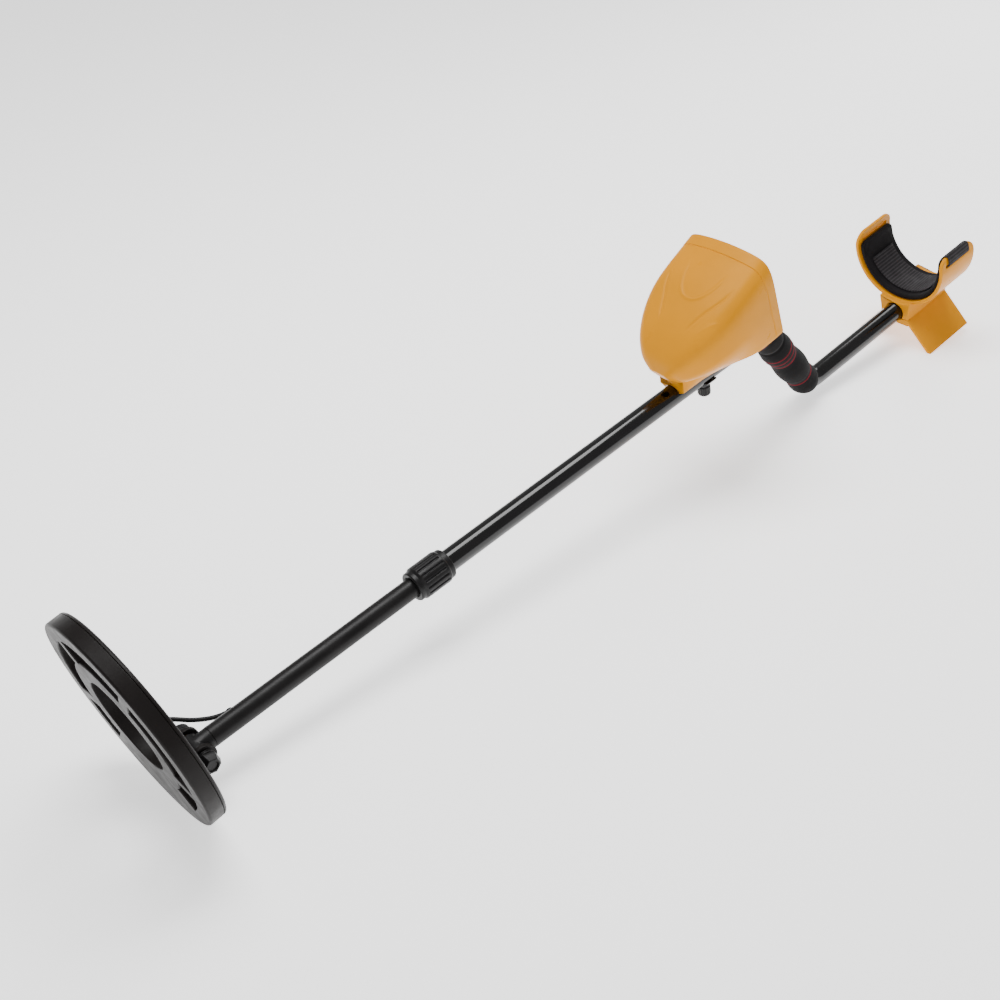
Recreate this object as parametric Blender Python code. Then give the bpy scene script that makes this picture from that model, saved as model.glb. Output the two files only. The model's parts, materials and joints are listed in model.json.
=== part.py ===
"""Metal detector: round search coil on a tilting hinge, telescoping stem, S-shaped rod with a foam
grip, hooded control box and a padded armrest with a two-legged stand.

World frame: +X runs from the coil to the armrest, +Z is up, the feet and the coil's rim stand on
z = 0. All sizes are in metres.
"""
import math

import bmesh
import bpy
from mathutils import Matrix, Vector

# ---------------------------------------------------------------- driving dimensions
GAP = 0.0003                      # clearance between pieces that touch
ROD_PITCH = math.radians(6.721)    # the main rod rises this much towards the user
COIL_TILT = math.radians(4.72)    # the coil's axis is turned this much further up from the rod
ARM_PITCH = ROD_PITCH + math.radians(1.39)

# coil, in the coil frame: x to the coil's front, z up through its top face, origin on the hinge pin
COIL_R = 0.1030
COIL_THICK = 0.0174
COIL_TOP = -0.0190                # the coil's top face, below the hinge pin
COIL_CENTRE = 0.0706              # the coil's centre, in front of the hinge pin
HOLE_R = 0.0445
GAP_IN_R = 0.0648
GAP_OUT_R = 0.0860
SPOKE_W = 0.0120
SPOKE_ANGLES = (34.0, -34.0, 105.0, -105.0)
WEB_HALF = 45.0                   # half the angle of the wide web that carries the hinge
LID_T = 0.0032
EDGE_R = 0.0023
TOP_EDGE_R = 0.0030

# hinge
EAR_IN = 0.0112
EAR_T = 0.0048
EAR_R = 0.0125
BOLT_R = 0.0030
WASHER_T = 0.0012
HEAD_R = 0.0102
HEAD_LONG = 0.0115
SPACER_R = 0.0092
KNOB_START = 0.0199
KNOB_END = 0.0294

# stem and rod, along the rod axis, measured from the hinge pin
STEM_R = 0.0096
STEM_BORE = 0.0078
STEM_START = 0.0165
STEM_END = 0.5050
CABLE_HOLE_S = 0.0430
ROD_R = 0.0110
ROD_BORE = 0.0099
ROD_START = 0.2560
COLLAR_S = (0.2416, 0.2827)
BEND1_S = 0.7270
BEND1_R = 0.0350
BEND2_S = 0.8010
BEND2_R = 0.0300
ARM_U = -0.1143                   # the arm section's axis, below the rod axis, at BEND2_S
ARM_END_S = 1.0350
BEND_STEPS = 7
GRIP_START_S = 0.7015             # the foam starts just behind the box and runs over both bends

# foam grip radii, by distance along the rod's centre line from the foam's upper end
GRIP_LOBES = ((0.000, 0.0140), (0.003, 0.0160), (0.010, 0.0172), (0.018, 0.0168), (0.026, 0.0160),
              (0.034, 0.0170), (0.044, 0.0172), (0.0495, 0.0156), (0.0528, 0.0168), (0.0648, 0.0184),
              (0.0768, 0.0177), (0.0838, 0.0165), (0.0958, 0.0179), (0.1078, 0.0186), (0.1198, 0.0176),
              (0.1268, 0.0162), (0.1378, 0.0170), (0.1458, 0.0174), (0.1528, 0.0160), (0.1568, 0.0140))

# control box, in the rod frame
HOOD_T = 0.0024
# each station: lower and upper distance, lower and full half-width, lower and upper height, squareness
BOX_REAR = (0.7010, 0.6860, 0.0540, 0.0540, 0.0365, 0.1290, 0.21)
HOOD_STATIONS = (
    (0.5850, 0.5730, 0.0090, 0.0130, 0.0250, 0.0400, 0.42),
    (0.5890, 0.5755, 0.0150, 0.0245, 0.0235, 0.0530, 0.33),
    (0.6000, 0.5840, 0.0200, 0.0350, 0.0225, 0.0665, 0.27),
    (0.6130, 0.5980, 0.0270, 0.0440, 0.0235, 0.0800, 0.24),
    (0.6300, 0.6140, 0.0360, 0.0505, 0.0265, 0.0915, 0.22),
    (0.6480, 0.6310, 0.0450, 0.0540, 0.0300, 0.1020, 0.21),
    (0.6660, 0.6500, 0.0515, 0.0550, 0.0320, 0.1120, 0.21),
    (0.6880, 0.6720, 0.0535, 0.0548, 0.0345, 0.1220, 0.21),
    BOX_REAR,
)
HOOD_RISES = (0.0, 0.12, 0.25, 0.40, 0.55, 0.70, 0.82, 0.90)
HOOD_ACROSS = (0.95, 0.89, 0.78, 0.60, 0.35)
DRAWN_IN = 0.45                   # the share of the hood's height over which its sides draw in
CROWN = 0.06                      # how much lower the top's edges are than its middle
SADDLE_S = (0.5930, 0.6960)
SADDLE_HALF = 0.0148
THUMB_S = 0.6370
SCREW_R = 0.0025
LEAD_HOLE_S = 0.6860

# panel, in the panel frame: x to the user's right, y up the panel, z out of it
PANEL_T = 0.0030
WINDOW = (0.0, 0.0660, 0.0560, 0.0270)
KNOB_X = (-0.0320, 0.0, 0.0320)
KNOB_Y = 0.0170
KNOB_R = 0.0098
BUTTON_X = (0.0160, 0.0300)
BUTTON_Y = 0.0420
BUTTON_R = 0.0045
JACK_XY = (0.0430, 0.0420)
SPEAKER_XY = (-0.0260, 0.0380)
SPEAKER_R = 0.0105

# armrest, in the arm frame: x along the arm tube, z up from the tube's axis
CUFF_X = (0.0, 0.0615)
CUFF_R = 0.0590
CUFF_T = 0.0040
CUFF_LEAN = 0.0020
TIP_R = 0.0130
CUFF_BOTTOM = 0.0095
CUFF_WALL = 0.0150
SLOT_DOWN = 0.0085
SLOT = (0.0440, 0.0030)
PAD_T = 0.0060
BLOCK_X = (-0.0061, 0.0687)
BLOCK = ((0.0180, -0.0066), (0.0205, 0.0150))
SEAM_V = -0.0069
STRAP_W = 0.0380
STRAP_T = 0.0018
LEG = ((0.0180, -0.0069), (0.0498, -0.0420))
LEG_T = 0.0036
STAND_SCREWS = ((0.0080, 0.0146), (0.0080, -0.0146), (0.0546, 0.0146), (0.0546, -0.0146))

COLOURS = {
    "coil_black": ((0.045, 0.040, 0.040, 1), 0.45, 0.0),
    "yellow": ((0.90, 0.40, 0.045, 1), 0.30, 0.0),
    "gloss_black": ((0.012, 0.012, 0.012, 1), 0.18, 0.3),
    "satin_black": ((0.035, 0.033, 0.033, 1), 0.40, 0.2),
    "foam_black": ((0.020, 0.020, 0.020, 1), 0.90, 0.0),
    "webbing": ((0.030, 0.028, 0.032, 1), 0.80, 0.0),
    "steel": ((0.60, 0.60, 0.60, 1), 0.30, 1.0),
    "copper": ((0.75, 0.35, 0.15, 1), 0.35, 1.0),
    "clear": ((0.10, 0.12, 0.12, 1), 0.08, 0.0),
    "display": ((0.45, 0.50, 0.42, 1), 0.35, 0.0),
    "board": ((0.05, 0.25, 0.10, 1), 0.50, 0.0),
    "battery": ((0.25, 0.25, 0.27, 1), 0.35, 0.6),
    "rubber": ((0.025, 0.025, 0.025, 1), 0.75, 0.0),
}


# ---------------------------------------------------------------- frames
def frame(origin, x_axis, y_axis, z_axis):
    """A placing matrix from an origin and three unit axes."""
    matrix = Matrix.Identity(4)
    for column, axis in enumerate((x_axis, y_axis, z_axis)):
        matrix.col[column][:3] = axis
    matrix.col[3][:3] = origin
    return matrix


def pitched(origin, pitch):
    """A frame whose x axis rises by pitch towards the user."""
    c, s = math.cos(pitch), math.sin(pitch)
    return frame(origin, (c, 0, s), (0, 1, 0), (-s, 0, c))


LEAN = ROD_PITCH + COIL_TILT
PIN_HEIGHT = (-(COIL_TOP - COIL_THICK + EDGE_R) * math.sin(LEAN)
              + (COIL_R - EDGE_R - COIL_CENTRE) * math.cos(LEAN) + EDGE_R)
PIN = Vector((0.0, 0.0, PIN_HEIGHT))
ROD = pitched(PIN, ROD_PITCH)
COIL = frame(PIN, (-math.sin(LEAN), 0, math.cos(LEAN)), (0, -1, 0), (math.cos(LEAN), 0, math.sin(LEAN)))
ARM_SLOPE = math.tan(ARM_PITCH - ROD_PITCH)
ARM_FRONT_S = 0.9685
ARM = pitched(ROD @ Vector((ARM_FRONT_S, 0, ARM_U + (ARM_FRONT_S - BEND2_S) * ARM_SLOPE)), ARM_PITCH)
PANEL_LEAN = math.atan2(BOX_REAR[0] - BOX_REAR[1], BOX_REAR[5] - BOX_REAR[4])
PANEL = ROD @ frame((BOX_REAR[0], 0, BOX_REAR[4]), (0, 1, 0),
                    (-math.sin(PANEL_LEAN), 0, math.cos(PANEL_LEAN)),
                    (math.cos(PANEL_LEAN), 0, math.sin(PANEL_LEAN)))


def along_y(x, z):
    """A frame at (x, z) whose own z axis points along the coil frame's y axis."""
    return frame((x, 0, z), (1, 0, 0), (0, 0, -1), (0, 1, 0))


def along_x(x, y=0.0, z=0.0):
    """A frame whose own z axis points along +x."""
    return frame((x, y, z), (0, 1, 0), (0, 0, 1), (1, 0, 0))


# ---------------------------------------------------------------- mesh making
def material(name):
    """The Principled material of a colour slot, made once."""
    found = bpy.data.materials.get(name)
    if found:
        return found
    colour, roughness, metallic = COLOURS[name]
    made = bpy.data.materials.new(name)
    made.use_nodes = True
    shader = made.node_tree.nodes["Principled BSDF"]
    shader.inputs["Base Color"].default_value = colour
    shader.inputs["Roughness"].default_value = roughness
    shader.inputs["Metallic"].default_value = metallic
    return made


def finish_object(name, mesh_bm, matrix, slot, smooth=True):
    """Turns a bmesh into a named object with outward normals and its material."""
    bmesh.ops.remove_doubles(mesh_bm, verts=mesh_bm.verts, dist=1e-6)
    bmesh.ops.recalc_face_normals(mesh_bm, faces=mesh_bm.faces)
    mesh = bpy.data.meshes.new(name)
    mesh_bm.to_mesh(mesh)
    mesh_bm.free()
    if smooth:
        mesh.shade_smooth()
        mesh.set_sharp_from_angle(angle=math.radians(35))
    mesh.materials.append(material(slot))
    made = bpy.data.objects.new(name, mesh)
    bpy.context.scene.collection.objects.link(made)
    made.matrix_world = matrix
    return made


def loft_mesh(loops, closed_path=False):
    """A bmesh through equal loops of points, with a flat cap at each end."""
    bm = bmesh.new()
    rings = [[bm.verts.new(p) for p in loop] for loop in loops]
    count = len(rings[0])
    pairs = list(zip(rings, rings[1:]))
    if closed_path:
        pairs.append((rings[-1], rings[0]))
    for low, high in pairs:
        for i in range(count):
            j = (i + 1) % count
            bm.faces.new((low[i], low[j], high[j], high[i]))
    if not closed_path:
        bm.faces.new(rings[0][::-1])
        bm.faces.new(rings[-1])
    return bm


def lathe_mesh(profile, segments=32):
    """Turns a closed (radius, height) outline round z. An outline may touch the axis."""
    bm = bmesh.new()
    columns = []
    for k in range(segments):
        turn = 2 * math.pi * k / segments
        columns.append([bm.verts.new((r * math.cos(turn), r * math.sin(turn), z)) for r, z in profile])
    count = len(profile)
    for k in range(segments):
        here, there = columns[k], columns[(k + 1) % segments]
        for i in range(count):
            j = (i + 1) % count
            if profile[i][0] < 1e-9 and profile[j][0] < 1e-9:
                continue
            bm.faces.new((here[i], here[j], there[j], there[i]))
    bmesh.ops.remove_doubles(bm, verts=bm.verts, dist=1e-6)
    bmesh.ops.dissolve_degenerate(bm, dist=1e-7, edges=bm.edges)
    return bm


def disc_profile(radius, low, high):
    """The outline of a plain solid cylinder."""
    return [(0.0, low), (radius, low), (radius, high), (0.0, high)]


def ring_profile(inner, outer, low, high):
    """The outline of a plain tube."""
    return [(inner, low), (outer, low), (outer, high), (inner, high)]


def prism_mesh(outline, low, high):
    """A flat outline in x and y raised from low to high."""
    return loft_mesh([[(x, y, low) for x, y in outline], [(x, y, high) for x, y in outline]])


def box_mesh(low, high):
    """A box between two corners."""
    outline = [(low[0], low[1]), (high[0], low[1]), (high[0], high[1]), (low[0], high[1])]
    return prism_mesh(outline, low[2], high[2])


def arc(cx, cy, radius, start, end, steps):
    """Points of an arc, with its angles in degrees."""
    turns = [math.radians(start + (end - start) * k / steps) for k in range(steps + 1)]
    return [(cx + radius * math.cos(t), cy + radius * math.sin(t)) for t in turns]


def rounded_rect(cx, cy, width, height, radius, steps=4):
    """The outline of a rectangle with round corners."""
    hx, hy = width / 2 - radius, height / 2 - radius
    corners = ((hx, hy, 0), (-hx, hy, 90), (-hx, -hy, 180), (hx, -hy, 270))
    points = []
    for x, y, turn in corners:
        points += arc(cx + x, cy + y, radius, turn, turn + 90, steps)
    return points


def combine(target, other_bm, matrix, operation):
    """Applies one Boolean of a temporary mesh, placed by matrix, to target."""
    tool = finish_object("tool", other_bm, matrix, "steel", smooth=False)
    modifier = target.modifiers.new("combine", "BOOLEAN")
    modifier.operation = operation
    modifier.solver = "EXACT"
    modifier.object = tool
    bpy.context.view_layer.update()
    graph = bpy.context.evaluated_depsgraph_get()
    result = bpy.data.meshes.new_from_object(target.evaluated_get(graph))
    target.modifiers.clear()
    target.data = result
    bpy.data.objects.remove(tool)
    bm = bmesh.new()
    bm.from_mesh(result)
    bmesh.ops.remove_doubles(bm, verts=bm.verts, dist=2e-6)
    bmesh.ops.dissolve_degenerate(bm, dist=1e-6, edges=bm.edges)
    bm.to_mesh(result)
    bm.free()
    result.shade_smooth()
    result.set_sharp_from_angle(angle=math.radians(35))


def cut(target, other_bm, matrix):
    combine(target, other_bm, matrix, "DIFFERENCE")


def join(target, other_bm, matrix):
    combine(target, other_bm, matrix, "UNION")


def smooth_path(points, step):
    """Points a step apart along a Catmull-Rom curve through the given points."""
    ends = [2 * points[0] - points[1]] + list(points) + [2 * points[-1] - points[-2]]
    out = [points[0].copy()]
    for a, b, c, d in zip(ends, ends[1:], ends[2:], ends[3:]):
        pieces = max(1, round((c - b).length / step))
        for k in range(1, pieces + 1):
            t = k / pieces
            out.append(0.5 * ((2 * b) + (c - a) * t + (2 * a - 5 * b + 4 * c - d) * t * t
                              + (3 * b - a - 3 * c + d) * t ** 3))
    return out


def cord(name, points, radius, slot):
    """A cord as a curve object: one open POLY spline with a round bevel and filled caps."""
    curve = bpy.data.curves.new(name, "CURVE")
    curve.dimensions = "3D"
    curve.bevel_depth = radius
    curve.bevel_resolution = 2
    curve.use_fill_caps = True
    spline = curve.splines.new("POLY")
    spline.points.add(len(points) - 1)
    for point, place in zip(spline.points, points):
        point.co = (*place, 1.0)
    curve.materials.append(material(slot))
    made = bpy.data.objects.new(name, curve)
    bpy.context.scene.collection.objects.link(made)
    return made


# ---------------------------------------------------------------- coil
def sector(start, end, inner, outer, steps):
    """The outline of a ring's sector between two angles, cut square along its spokes."""
    half = SPOKE_W / 2
    outline = arc(0, 0, outer, start + math.degrees(half / outer), end - math.degrees(half / outer), steps)
    outline += arc(0, 0, inner, end - math.degrees(half / inner), start + math.degrees(half / inner), steps)
    return outline


def gap_sectors():
    """The four openings between the coil's inner and outer rings, as outlines."""
    side = math.degrees(SPOKE_W / 2 / GAP_IN_R)
    a, b = SPOKE_ANGLES[0], SPOKE_ANGLES[2]
    spans = ((-a, a, 6), (a, b, 6), (-b, -a, 6), (b, 180 - WEB_HALF + side, 4), (WEB_HALF - 180 - side, -b, 4))
    return [sector(start, end, GAP_IN_R, GAP_OUT_R, steps) for start, end, steps in spans]


def coil_openings(target):
    """Cuts the central hole and the ring openings through a coil shell."""
    low, high = COIL_TOP - COIL_THICK - 0.01, COIL_TOP + 0.01
    centre = COIL @ Matrix.Translation((COIL_CENTRE, 0, 0))
    for outline in gap_sectors():
        cut(target, prism_mesh(outline, low, high), centre)


def make_coil():
    """The moulded lower shell, its lid with the hinge ears, and the two windings inside."""
    centre = COIL @ Matrix.Translation((COIL_CENTRE, 0, 0))
    bottom = COIL_TOP - COIL_THICK
    seam = COIL_TOP - LID_T
    edge = [(r, z) for r, z in arc(COIL_R - EDGE_R, bottom + EDGE_R, EDGE_R, -90, 0, 3)]
    wall = 0.0024
    groove = bottom + 0.0030
    top = seam - GAP
    profile = [(HOLE_R, bottom)] + edge + [
        (COIL_R, top), (COIL_R - wall, top), (COIL_R - wall, groove), (GAP_OUT_R + wall, groove),
        (GAP_OUT_R + wall, top), (GAP_IN_R - wall, top), (GAP_IN_R - wall, groove),
        (HOLE_R + wall, groove), (HOLE_R + wall, top), (HOLE_R, top)]
    shell = finish_object("coil_shell", lathe_mesh(profile, 48), centre, "coil_black")
    coil_openings(shell)
    channel = box_mesh((GAP_IN_R - 0.006, -0.005, groove), (GAP_OUT_R + 0.006, 0.005, top + 0.005))
    cut(shell, channel, centre @ Matrix.Rotation(math.atan2(GLAND_Y, GLAND_X - COIL_CENTRE), 4, "Z"))

    rim = [(r, z) for r, z in arc(COIL_R - TOP_EDGE_R, COIL_TOP - TOP_EDGE_R, TOP_EDGE_R, 0, 90, 3)]
    lid = finish_object("coil_lid", lathe_mesh([(HOLE_R, seam), (COIL_R, seam)] + rim
                                               + [(HOLE_R, COIL_TOP)], 48), centre, "coil_black")
    coil_openings(lid)
    foot = COIL_TOP - LID_T / 2
    outline = arc(0, 0, EAR_R, -28, 208, 12) + [(-0.0165, foot), (0.0165, foot)]
    for side in (1, -1):
        middle = side * (EAR_IN + EAR_T / 2)
        ear = frame((0, middle, 0), (1, 0, 0), (0, 0, 1), (0, -1, 0))
        join(lid, prism_mesh(outline, -EAR_T / 2, EAR_T / 2), COIL @ ear)
    cut(lid, lathe_mesh(disc_profile(BOLT_R + GAP, -0.03, 0.03), 16), COIL @ along_y(0, 0))
    lid_gland_hole(lid)

    for name, radius, wide in (("outer_winding", 0.0946, 0.0085), ("inner_winding", 0.0546, 0.0100)):
        ring = ring_profile(radius - wide / 2, radius + wide / 2, groove + 0.0008, groove + 0.0078)
        finish_object(name, lathe_mesh(ring, 48), centre, "copper")


GLAND_X = 0.0120                  # the cable gland on the lid, in the coil frame
GLAND_Y = -0.0390


def gland_frame():
    """The gland's frame: it stands on the lid beside the far ear, its mouth leaning forward."""
    return COIL @ Matrix.Translation((GLAND_X, GLAND_Y, COIL_TOP))


def lid_gland_hole(lid):
    """The hole that the coil's lead passes through."""
    cut(lid, lathe_mesh(disc_profile(0.0036, -0.01, 0.01), 16), gland_frame())


def make_gland():
    """The moulded strain relief: a flange on the lid and a tapered sleeve."""
    profile = [(0.0024, GAP), (0.0070, GAP), (0.0070, 0.0022), (0.0052, 0.0034), (0.0046, 0.0060),
               (0.0036, 0.0120), (0.0024, 0.0120)]
    finish_object("cable_gland", lathe_mesh(profile, 20), gland_frame(), "rubber")


# ---------------------------------------------------------------- hinge
def make_hinge():
    """The pivot bolt with its round head, the friction washers, the spacer and the clamping knob."""
    axis = COIL @ along_y(0, 0)
    out = EAR_IN + EAR_T
    tip = KNOB_END - 0.0032
    bolt = [(0.0, -out - HEAD_LONG), (HEAD_R - 0.0030, -out - HEAD_LONG), (HEAD_R - 0.0008, -out - HEAD_LONG + 0.0012),
            (HEAD_R, -out - HEAD_LONG + 0.0034), (HEAD_R, -out - GAP), (BOLT_R, -out - GAP), (BOLT_R, tip), (0.0, tip)]
    finish_object("hinge_bolt", lathe_mesh(bolt, 24), axis, "satin_black")
    for name, low in (("washer_far", -EAR_IN + GAP), ("washer_near", EAR_IN - GAP - WASHER_T)):
        ring = ring_profile(BOLT_R + GAP, 0.0080, low, low + WASHER_T)
        finish_object(name, lathe_mesh(ring, 24), axis, "rubber")
    spacer = [(BOLT_R + GAP, out + GAP), (SPACER_R, out + GAP), (SPACER_R, KNOB_START - GAP),
              (BOLT_R + GAP, KNOB_START - GAP)]
    finish_object("hinge_spacer", lathe_mesh(spacer, 24), axis, "satin_black")
    hexagons = [[(radius * math.cos(math.radians(60 * k + 6)), radius * math.sin(math.radians(60 * k + 6)), z)
                 for k in range(6)] for radius, z in ((0.0104, KNOB_START), (0.0106, KNOB_START + 0.0030),
                                                      (0.0078, KNOB_END - 0.0006))]
    knob = finish_object("hinge_knob", loft_mesh(hexagons), axis, "satin_black")
    cut(knob, lathe_mesh(disc_profile(BOLT_R + GAP, KNOB_START - 0.01, KNOB_END - 0.0028), 16), axis)
    cut(knob, lathe_mesh(disc_profile(0.0050, KNOB_END - 0.0018, KNOB_END + 0.01), 20), axis)


# ---------------------------------------------------------------- stem
def make_stem():
    """The telescoping lower stem with its hinge tongue, guide bush and the lead inside."""
    stem = finish_object("lower_stem", lathe_mesh(ring_profile(STEM_BORE, STEM_R, STEM_START, STEM_END), 28),
                         ROD @ along_x(0), "satin_black")
    hole = frame((CABLE_HOLE_S, 0, 0), (1, 0, 0), (0, 0, -1), (0, 1, 0))
    cut(stem, lathe_mesh(disc_profile(0.0038, 0.0, 0.02), 14), ROD @ hole)

    width = EAR_IN - WASHER_T - 2 * GAP
    tongue = finish_object("stem_tongue", lathe_mesh(disc_profile(STEM_R, -width, width), 28),
                           ROD @ along_y_rod(), "satin_black")
    join(tongue, lathe_mesh(disc_profile(STEM_R - 0.00005, 0.0, STEM_START - GAP), 28), ROD @ along_x(0))
    join(tongue, lathe_mesh(disc_profile(STEM_BORE - GAP, STEM_START - 0.004, 0.0360), 24), ROD @ along_x(0))
    cut(tongue, lathe_mesh(disc_profile(BOLT_R + GAP, -0.02, 0.02), 16), ROD @ along_y_rod())

    bush = [(STEM_BORE - 0.0012, STEM_END - 0.012), (STEM_BORE - GAP, STEM_END - 0.012),
            (STEM_BORE - GAP, STEM_END + GAP), (ROD_BORE - 0.0001 - 0.00007, STEM_END + GAP),
            (ROD_BORE - 0.0001 - 0.00007, STEM_END + 0.0100), (STEM_BORE - 0.0012, STEM_END + 0.0100)]
    finish_object("guide_bush", lathe_mesh(bush, 28), ROD @ along_x(0), "rubber")


def along_y_rod():
    """A frame on the hinge pin whose z axis points along the world's y axis."""
    return frame((0, 0, 0), (1, 0, 0), (0, 0, -1), (0, 1, 0))


CABLE_R = 0.0021


def cable_route():
    """The coil lead's free loop, from the gland's mouth to the hole in the stem's far side."""
    mouth = gland_frame() @ Vector((0, 0, 0.0120 + GAP))
    start = gland_frame() @ Vector((0, 0, 0.0160))
    middle = [ROD @ Vector(p) for p in ((0.0050, 0.0345, 0.0070), (0.0160, 0.0260, 0.0025),
                                        (0.0270, 0.0205, -0.0015), (0.0360, 0.0175, -0.0038),
                                        (0.0415, 0.0142, -0.0026), (0.0430, 0.0106, -0.0006))]
    end = ROD @ Vector((CABLE_HOLE_S, STEM_BORE - 0.0002, 0.0))
    return smooth_path([mouth, start] + middle + [end], 0.0060)


def inner_route():
    """The lead's run inside the stem, along its axis."""
    points = [Vector((CABLE_HOLE_S, 0.0046, 0.0)), Vector((CABLE_HOLE_S + 0.004, 0.0018, 0.0)),
              Vector((CABLE_HOLE_S + 0.018, 0.0003, 0.0)), Vector((CABLE_HOLE_S + 0.06, 0.0, 0.0)),
              Vector((STEM_END - 0.020, 0.0, 0.0))]
    return [ROD @ p for p in smooth_path(points[:4], 0.008)] + [ROD @ points[4]]


def make_collar():
    """The twist-lock: a split collet on the rod's end and the ribbed collar over it."""
    start, end = COLLAR_S
    collet = [(STEM_R + GAP, start + 0.0020), (0.0118, start + 0.0020), (0.0128, start + 0.0140),
              (0.0128, end - 0.0050), (ROD_R + GAP, end - 0.0050), (ROD_R + GAP, ROD_START - GAP),
              (STEM_R + GAP, ROD_START - GAP)]
    finish_object("collet", lathe_mesh(collet, 28), ROD @ along_x(0), "rubber")
    profile = [(0.0101, start), (0.0138, start), (0.0146, start + 0.0010), (0.0146, start + 0.0050),
               (0.0158, start + 0.0060), (0.0162, start + 0.0080), (0.0162, end - 0.0080),
               (0.0158, end - 0.0060), (0.0150, end - 0.0050), (0.0150, end - 0.0010), (0.0142, end),
               (ROD_R + GAP, end), (ROD_R + GAP, end - 0.0040), (0.0132, end - 0.0040),
               (0.0132, start + 0.0140), (0.0122, start + 0.0016), (0.0101, start + 0.0016)]
    finish_object("lock_collar", lathe_mesh(profile, 36), ROD @ along_x(0), "satin_black")


# ---------------------------------------------------------------- rod and grip
def rod_path(steps=BEND_STEPS):
    """Centre points of the S-shaped rod in the rod frame: straight, bend, grip, bend, arm."""
    corner1 = Vector((BEND1_S, 0, 0))
    corner2 = Vector((BEND2_S, 0, ARM_U))
    end = Vector((ARM_END_S, 0, ARM_U + (ARM_END_S - BEND2_S) * ARM_SLOPE))
    points = [Vector((ROD_START, 0, 0))]
    for before, corner, after, radius in ((points[0], corner1, corner2, BEND1_R),
                                          (corner1, corner2, end, BEND2_R)):
        incoming = (corner - before).normalized()
        outgoing = (after - corner).normalized()
        half = incoming.angle(outgoing) / 2
        tangent = radius * math.tan(half)
        inward = (outgoing - incoming).normalized()
        centre = corner + inward * (radius / math.cos(half))
        first = corner - incoming * tangent - centre
        turn_axis = incoming.cross(outgoing).normalized()
        for k in range(steps + 1):
            points.append(centre + Matrix.Rotation(2 * half * k / steps, 3, turn_axis) @ first)
    points.append(end)
    return points


def sweep_tube(points, inner, outer, segments):
    """A hollow tube along a path in the rod's plane, with a radius for each point."""
    side = Vector((0, 1, 0))
    outer_loops, inner_loops = [], []
    for k, point in enumerate(points):
        before = points[max(k - 1, 0)]
        after = points[min(k + 1, len(points) - 1)]
        ahead = ((point - before).normalized() + (after - point).normalized()).normalized()
        up = ahead.cross(side).normalized() * -1
        for radii, loops in ((outer, outer_loops), (inner, inner_loops)):
            ring = []
            for j in range(segments):
                turn = 2 * math.pi * j / segments
                ring.append(point + (side * math.cos(turn) + up * math.sin(turn)) * radii[k])
            loops.append(ring)
    return loft_mesh(outer_loops + inner_loops[::-1], closed_path=True)


def make_rod():
    """The bent upper rod, with the hole that the lead leaves by."""
    points = rod_path()
    count = len(points)
    rod = finish_object("s_rod", sweep_tube(points, [ROD_BORE] * count, [ROD_R] * count, 24), ROD, "gloss_black")
    hole = frame((LEAD_HOLE_S, 0, 0), (1, 0, 0), (0, 1, 0), (0, 0, 1))
    cut(rod, lathe_mesh(disc_profile(0.0032, 0.0, 0.02), 14), ROD @ hole)
    hole = frame((THUMB_S, 0, 0), (1, 0, 0), (0, 1, 0), (0, 0, 1))
    cut(rod, lathe_mesh(disc_profile(SCREW_R + GAP, -0.02, 0.02), 16), ROD @ hole)
    slope = ARM_PITCH
    end = ROD @ points[-1]
    plug = [(0.0, GAP), (ROD_R, GAP), (ROD_R, 0.0020), (0.0090, 0.0032), (0.0, 0.0032)]
    finish_object("end_plug", lathe_mesh(plug, 28), pitched(end, slope) @ along_x(0), "rubber")


def path_lengths(points):
    """The distance of each point along a polyline."""
    lengths = [0.0]
    for a, b in zip(points, points[1:]):
        lengths.append(lengths[-1] + (b - a).length)
    return lengths


def grip_radius(along):
    """The foam's radius at a distance from its upper end."""
    for (d0, r0), (d1, r1) in zip(GRIP_LOBES, GRIP_LOBES[1:]):
        if along <= d1:
            return r0 + (r1 - r0) * max(along - d0, 0.0) / (d1 - d0)
    return GRIP_LOBES[-1][1]


def make_grip():
    """The foam sleeve: a hollow lobed sweep that follows the rod round its first bend into its second."""
    points = rod_path()
    lengths = path_lengths(points)
    start = GRIP_START_S - ROD_START
    end = start + GRIP_LOBES[-1][0]
    corners = [d for d in lengths if start < d < end]
    stations = corners + [start + d for d, _ in GRIP_LOBES if all(abs(start + d - c) > 0.0012 for c in corners)]
    centres, radii = [], []
    for distance in sorted(stations):
        k = max(i for i in range(len(points) - 1) if lengths[i] <= distance + 1e-9)
        centres.append(points[k].lerp(points[k + 1], (distance - lengths[k]) / (lengths[k + 1] - lengths[k])))
        radii.append(grip_radius(distance - start))
    finish_object("foam_grip", sweep_tube(centres, [ROD_R + GAP] * len(radii), radii, 24), ROD, "foam_black")


# ---------------------------------------------------------------- control box
def hood_section(power):
    """The hood's cross-section points as (across, rise) shares, for a squareness."""
    sides = [((1 - rise ** (2 / power)) ** (power / 2), rise) for rise in HOOD_RISES]
    tops = [(across, (1 - across ** (2 / power)) ** (power / 2)) for across in HOOD_ACROSS]
    half = sorted(sides + tops, key=lambda point: math.atan2(point[1], point[0]))
    return half + [(0.0, 1.0)] + [(-x, y) for x, y in reversed(half)]


def hood_loop(station, inset):
    """A section from one lower edge over the top to the other, drawn in below, in the rod frame."""
    s_low, s_top, half_low, half, u_low, u_top, power = station
    points = []
    for across, rise in hood_section(power):
        drawn = min(rise / DRAWN_IN, 1.0)
        width = half_low + (half - half_low) * (1 - (1 - drawn) ** 2) - inset
        height = u_low + (u_top - inset - u_low) * rise * (1 - CROWN * across * across)
        points.append(Vector((s_low + (s_top - s_low) * rise, across * width, height)))
    return points


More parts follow.
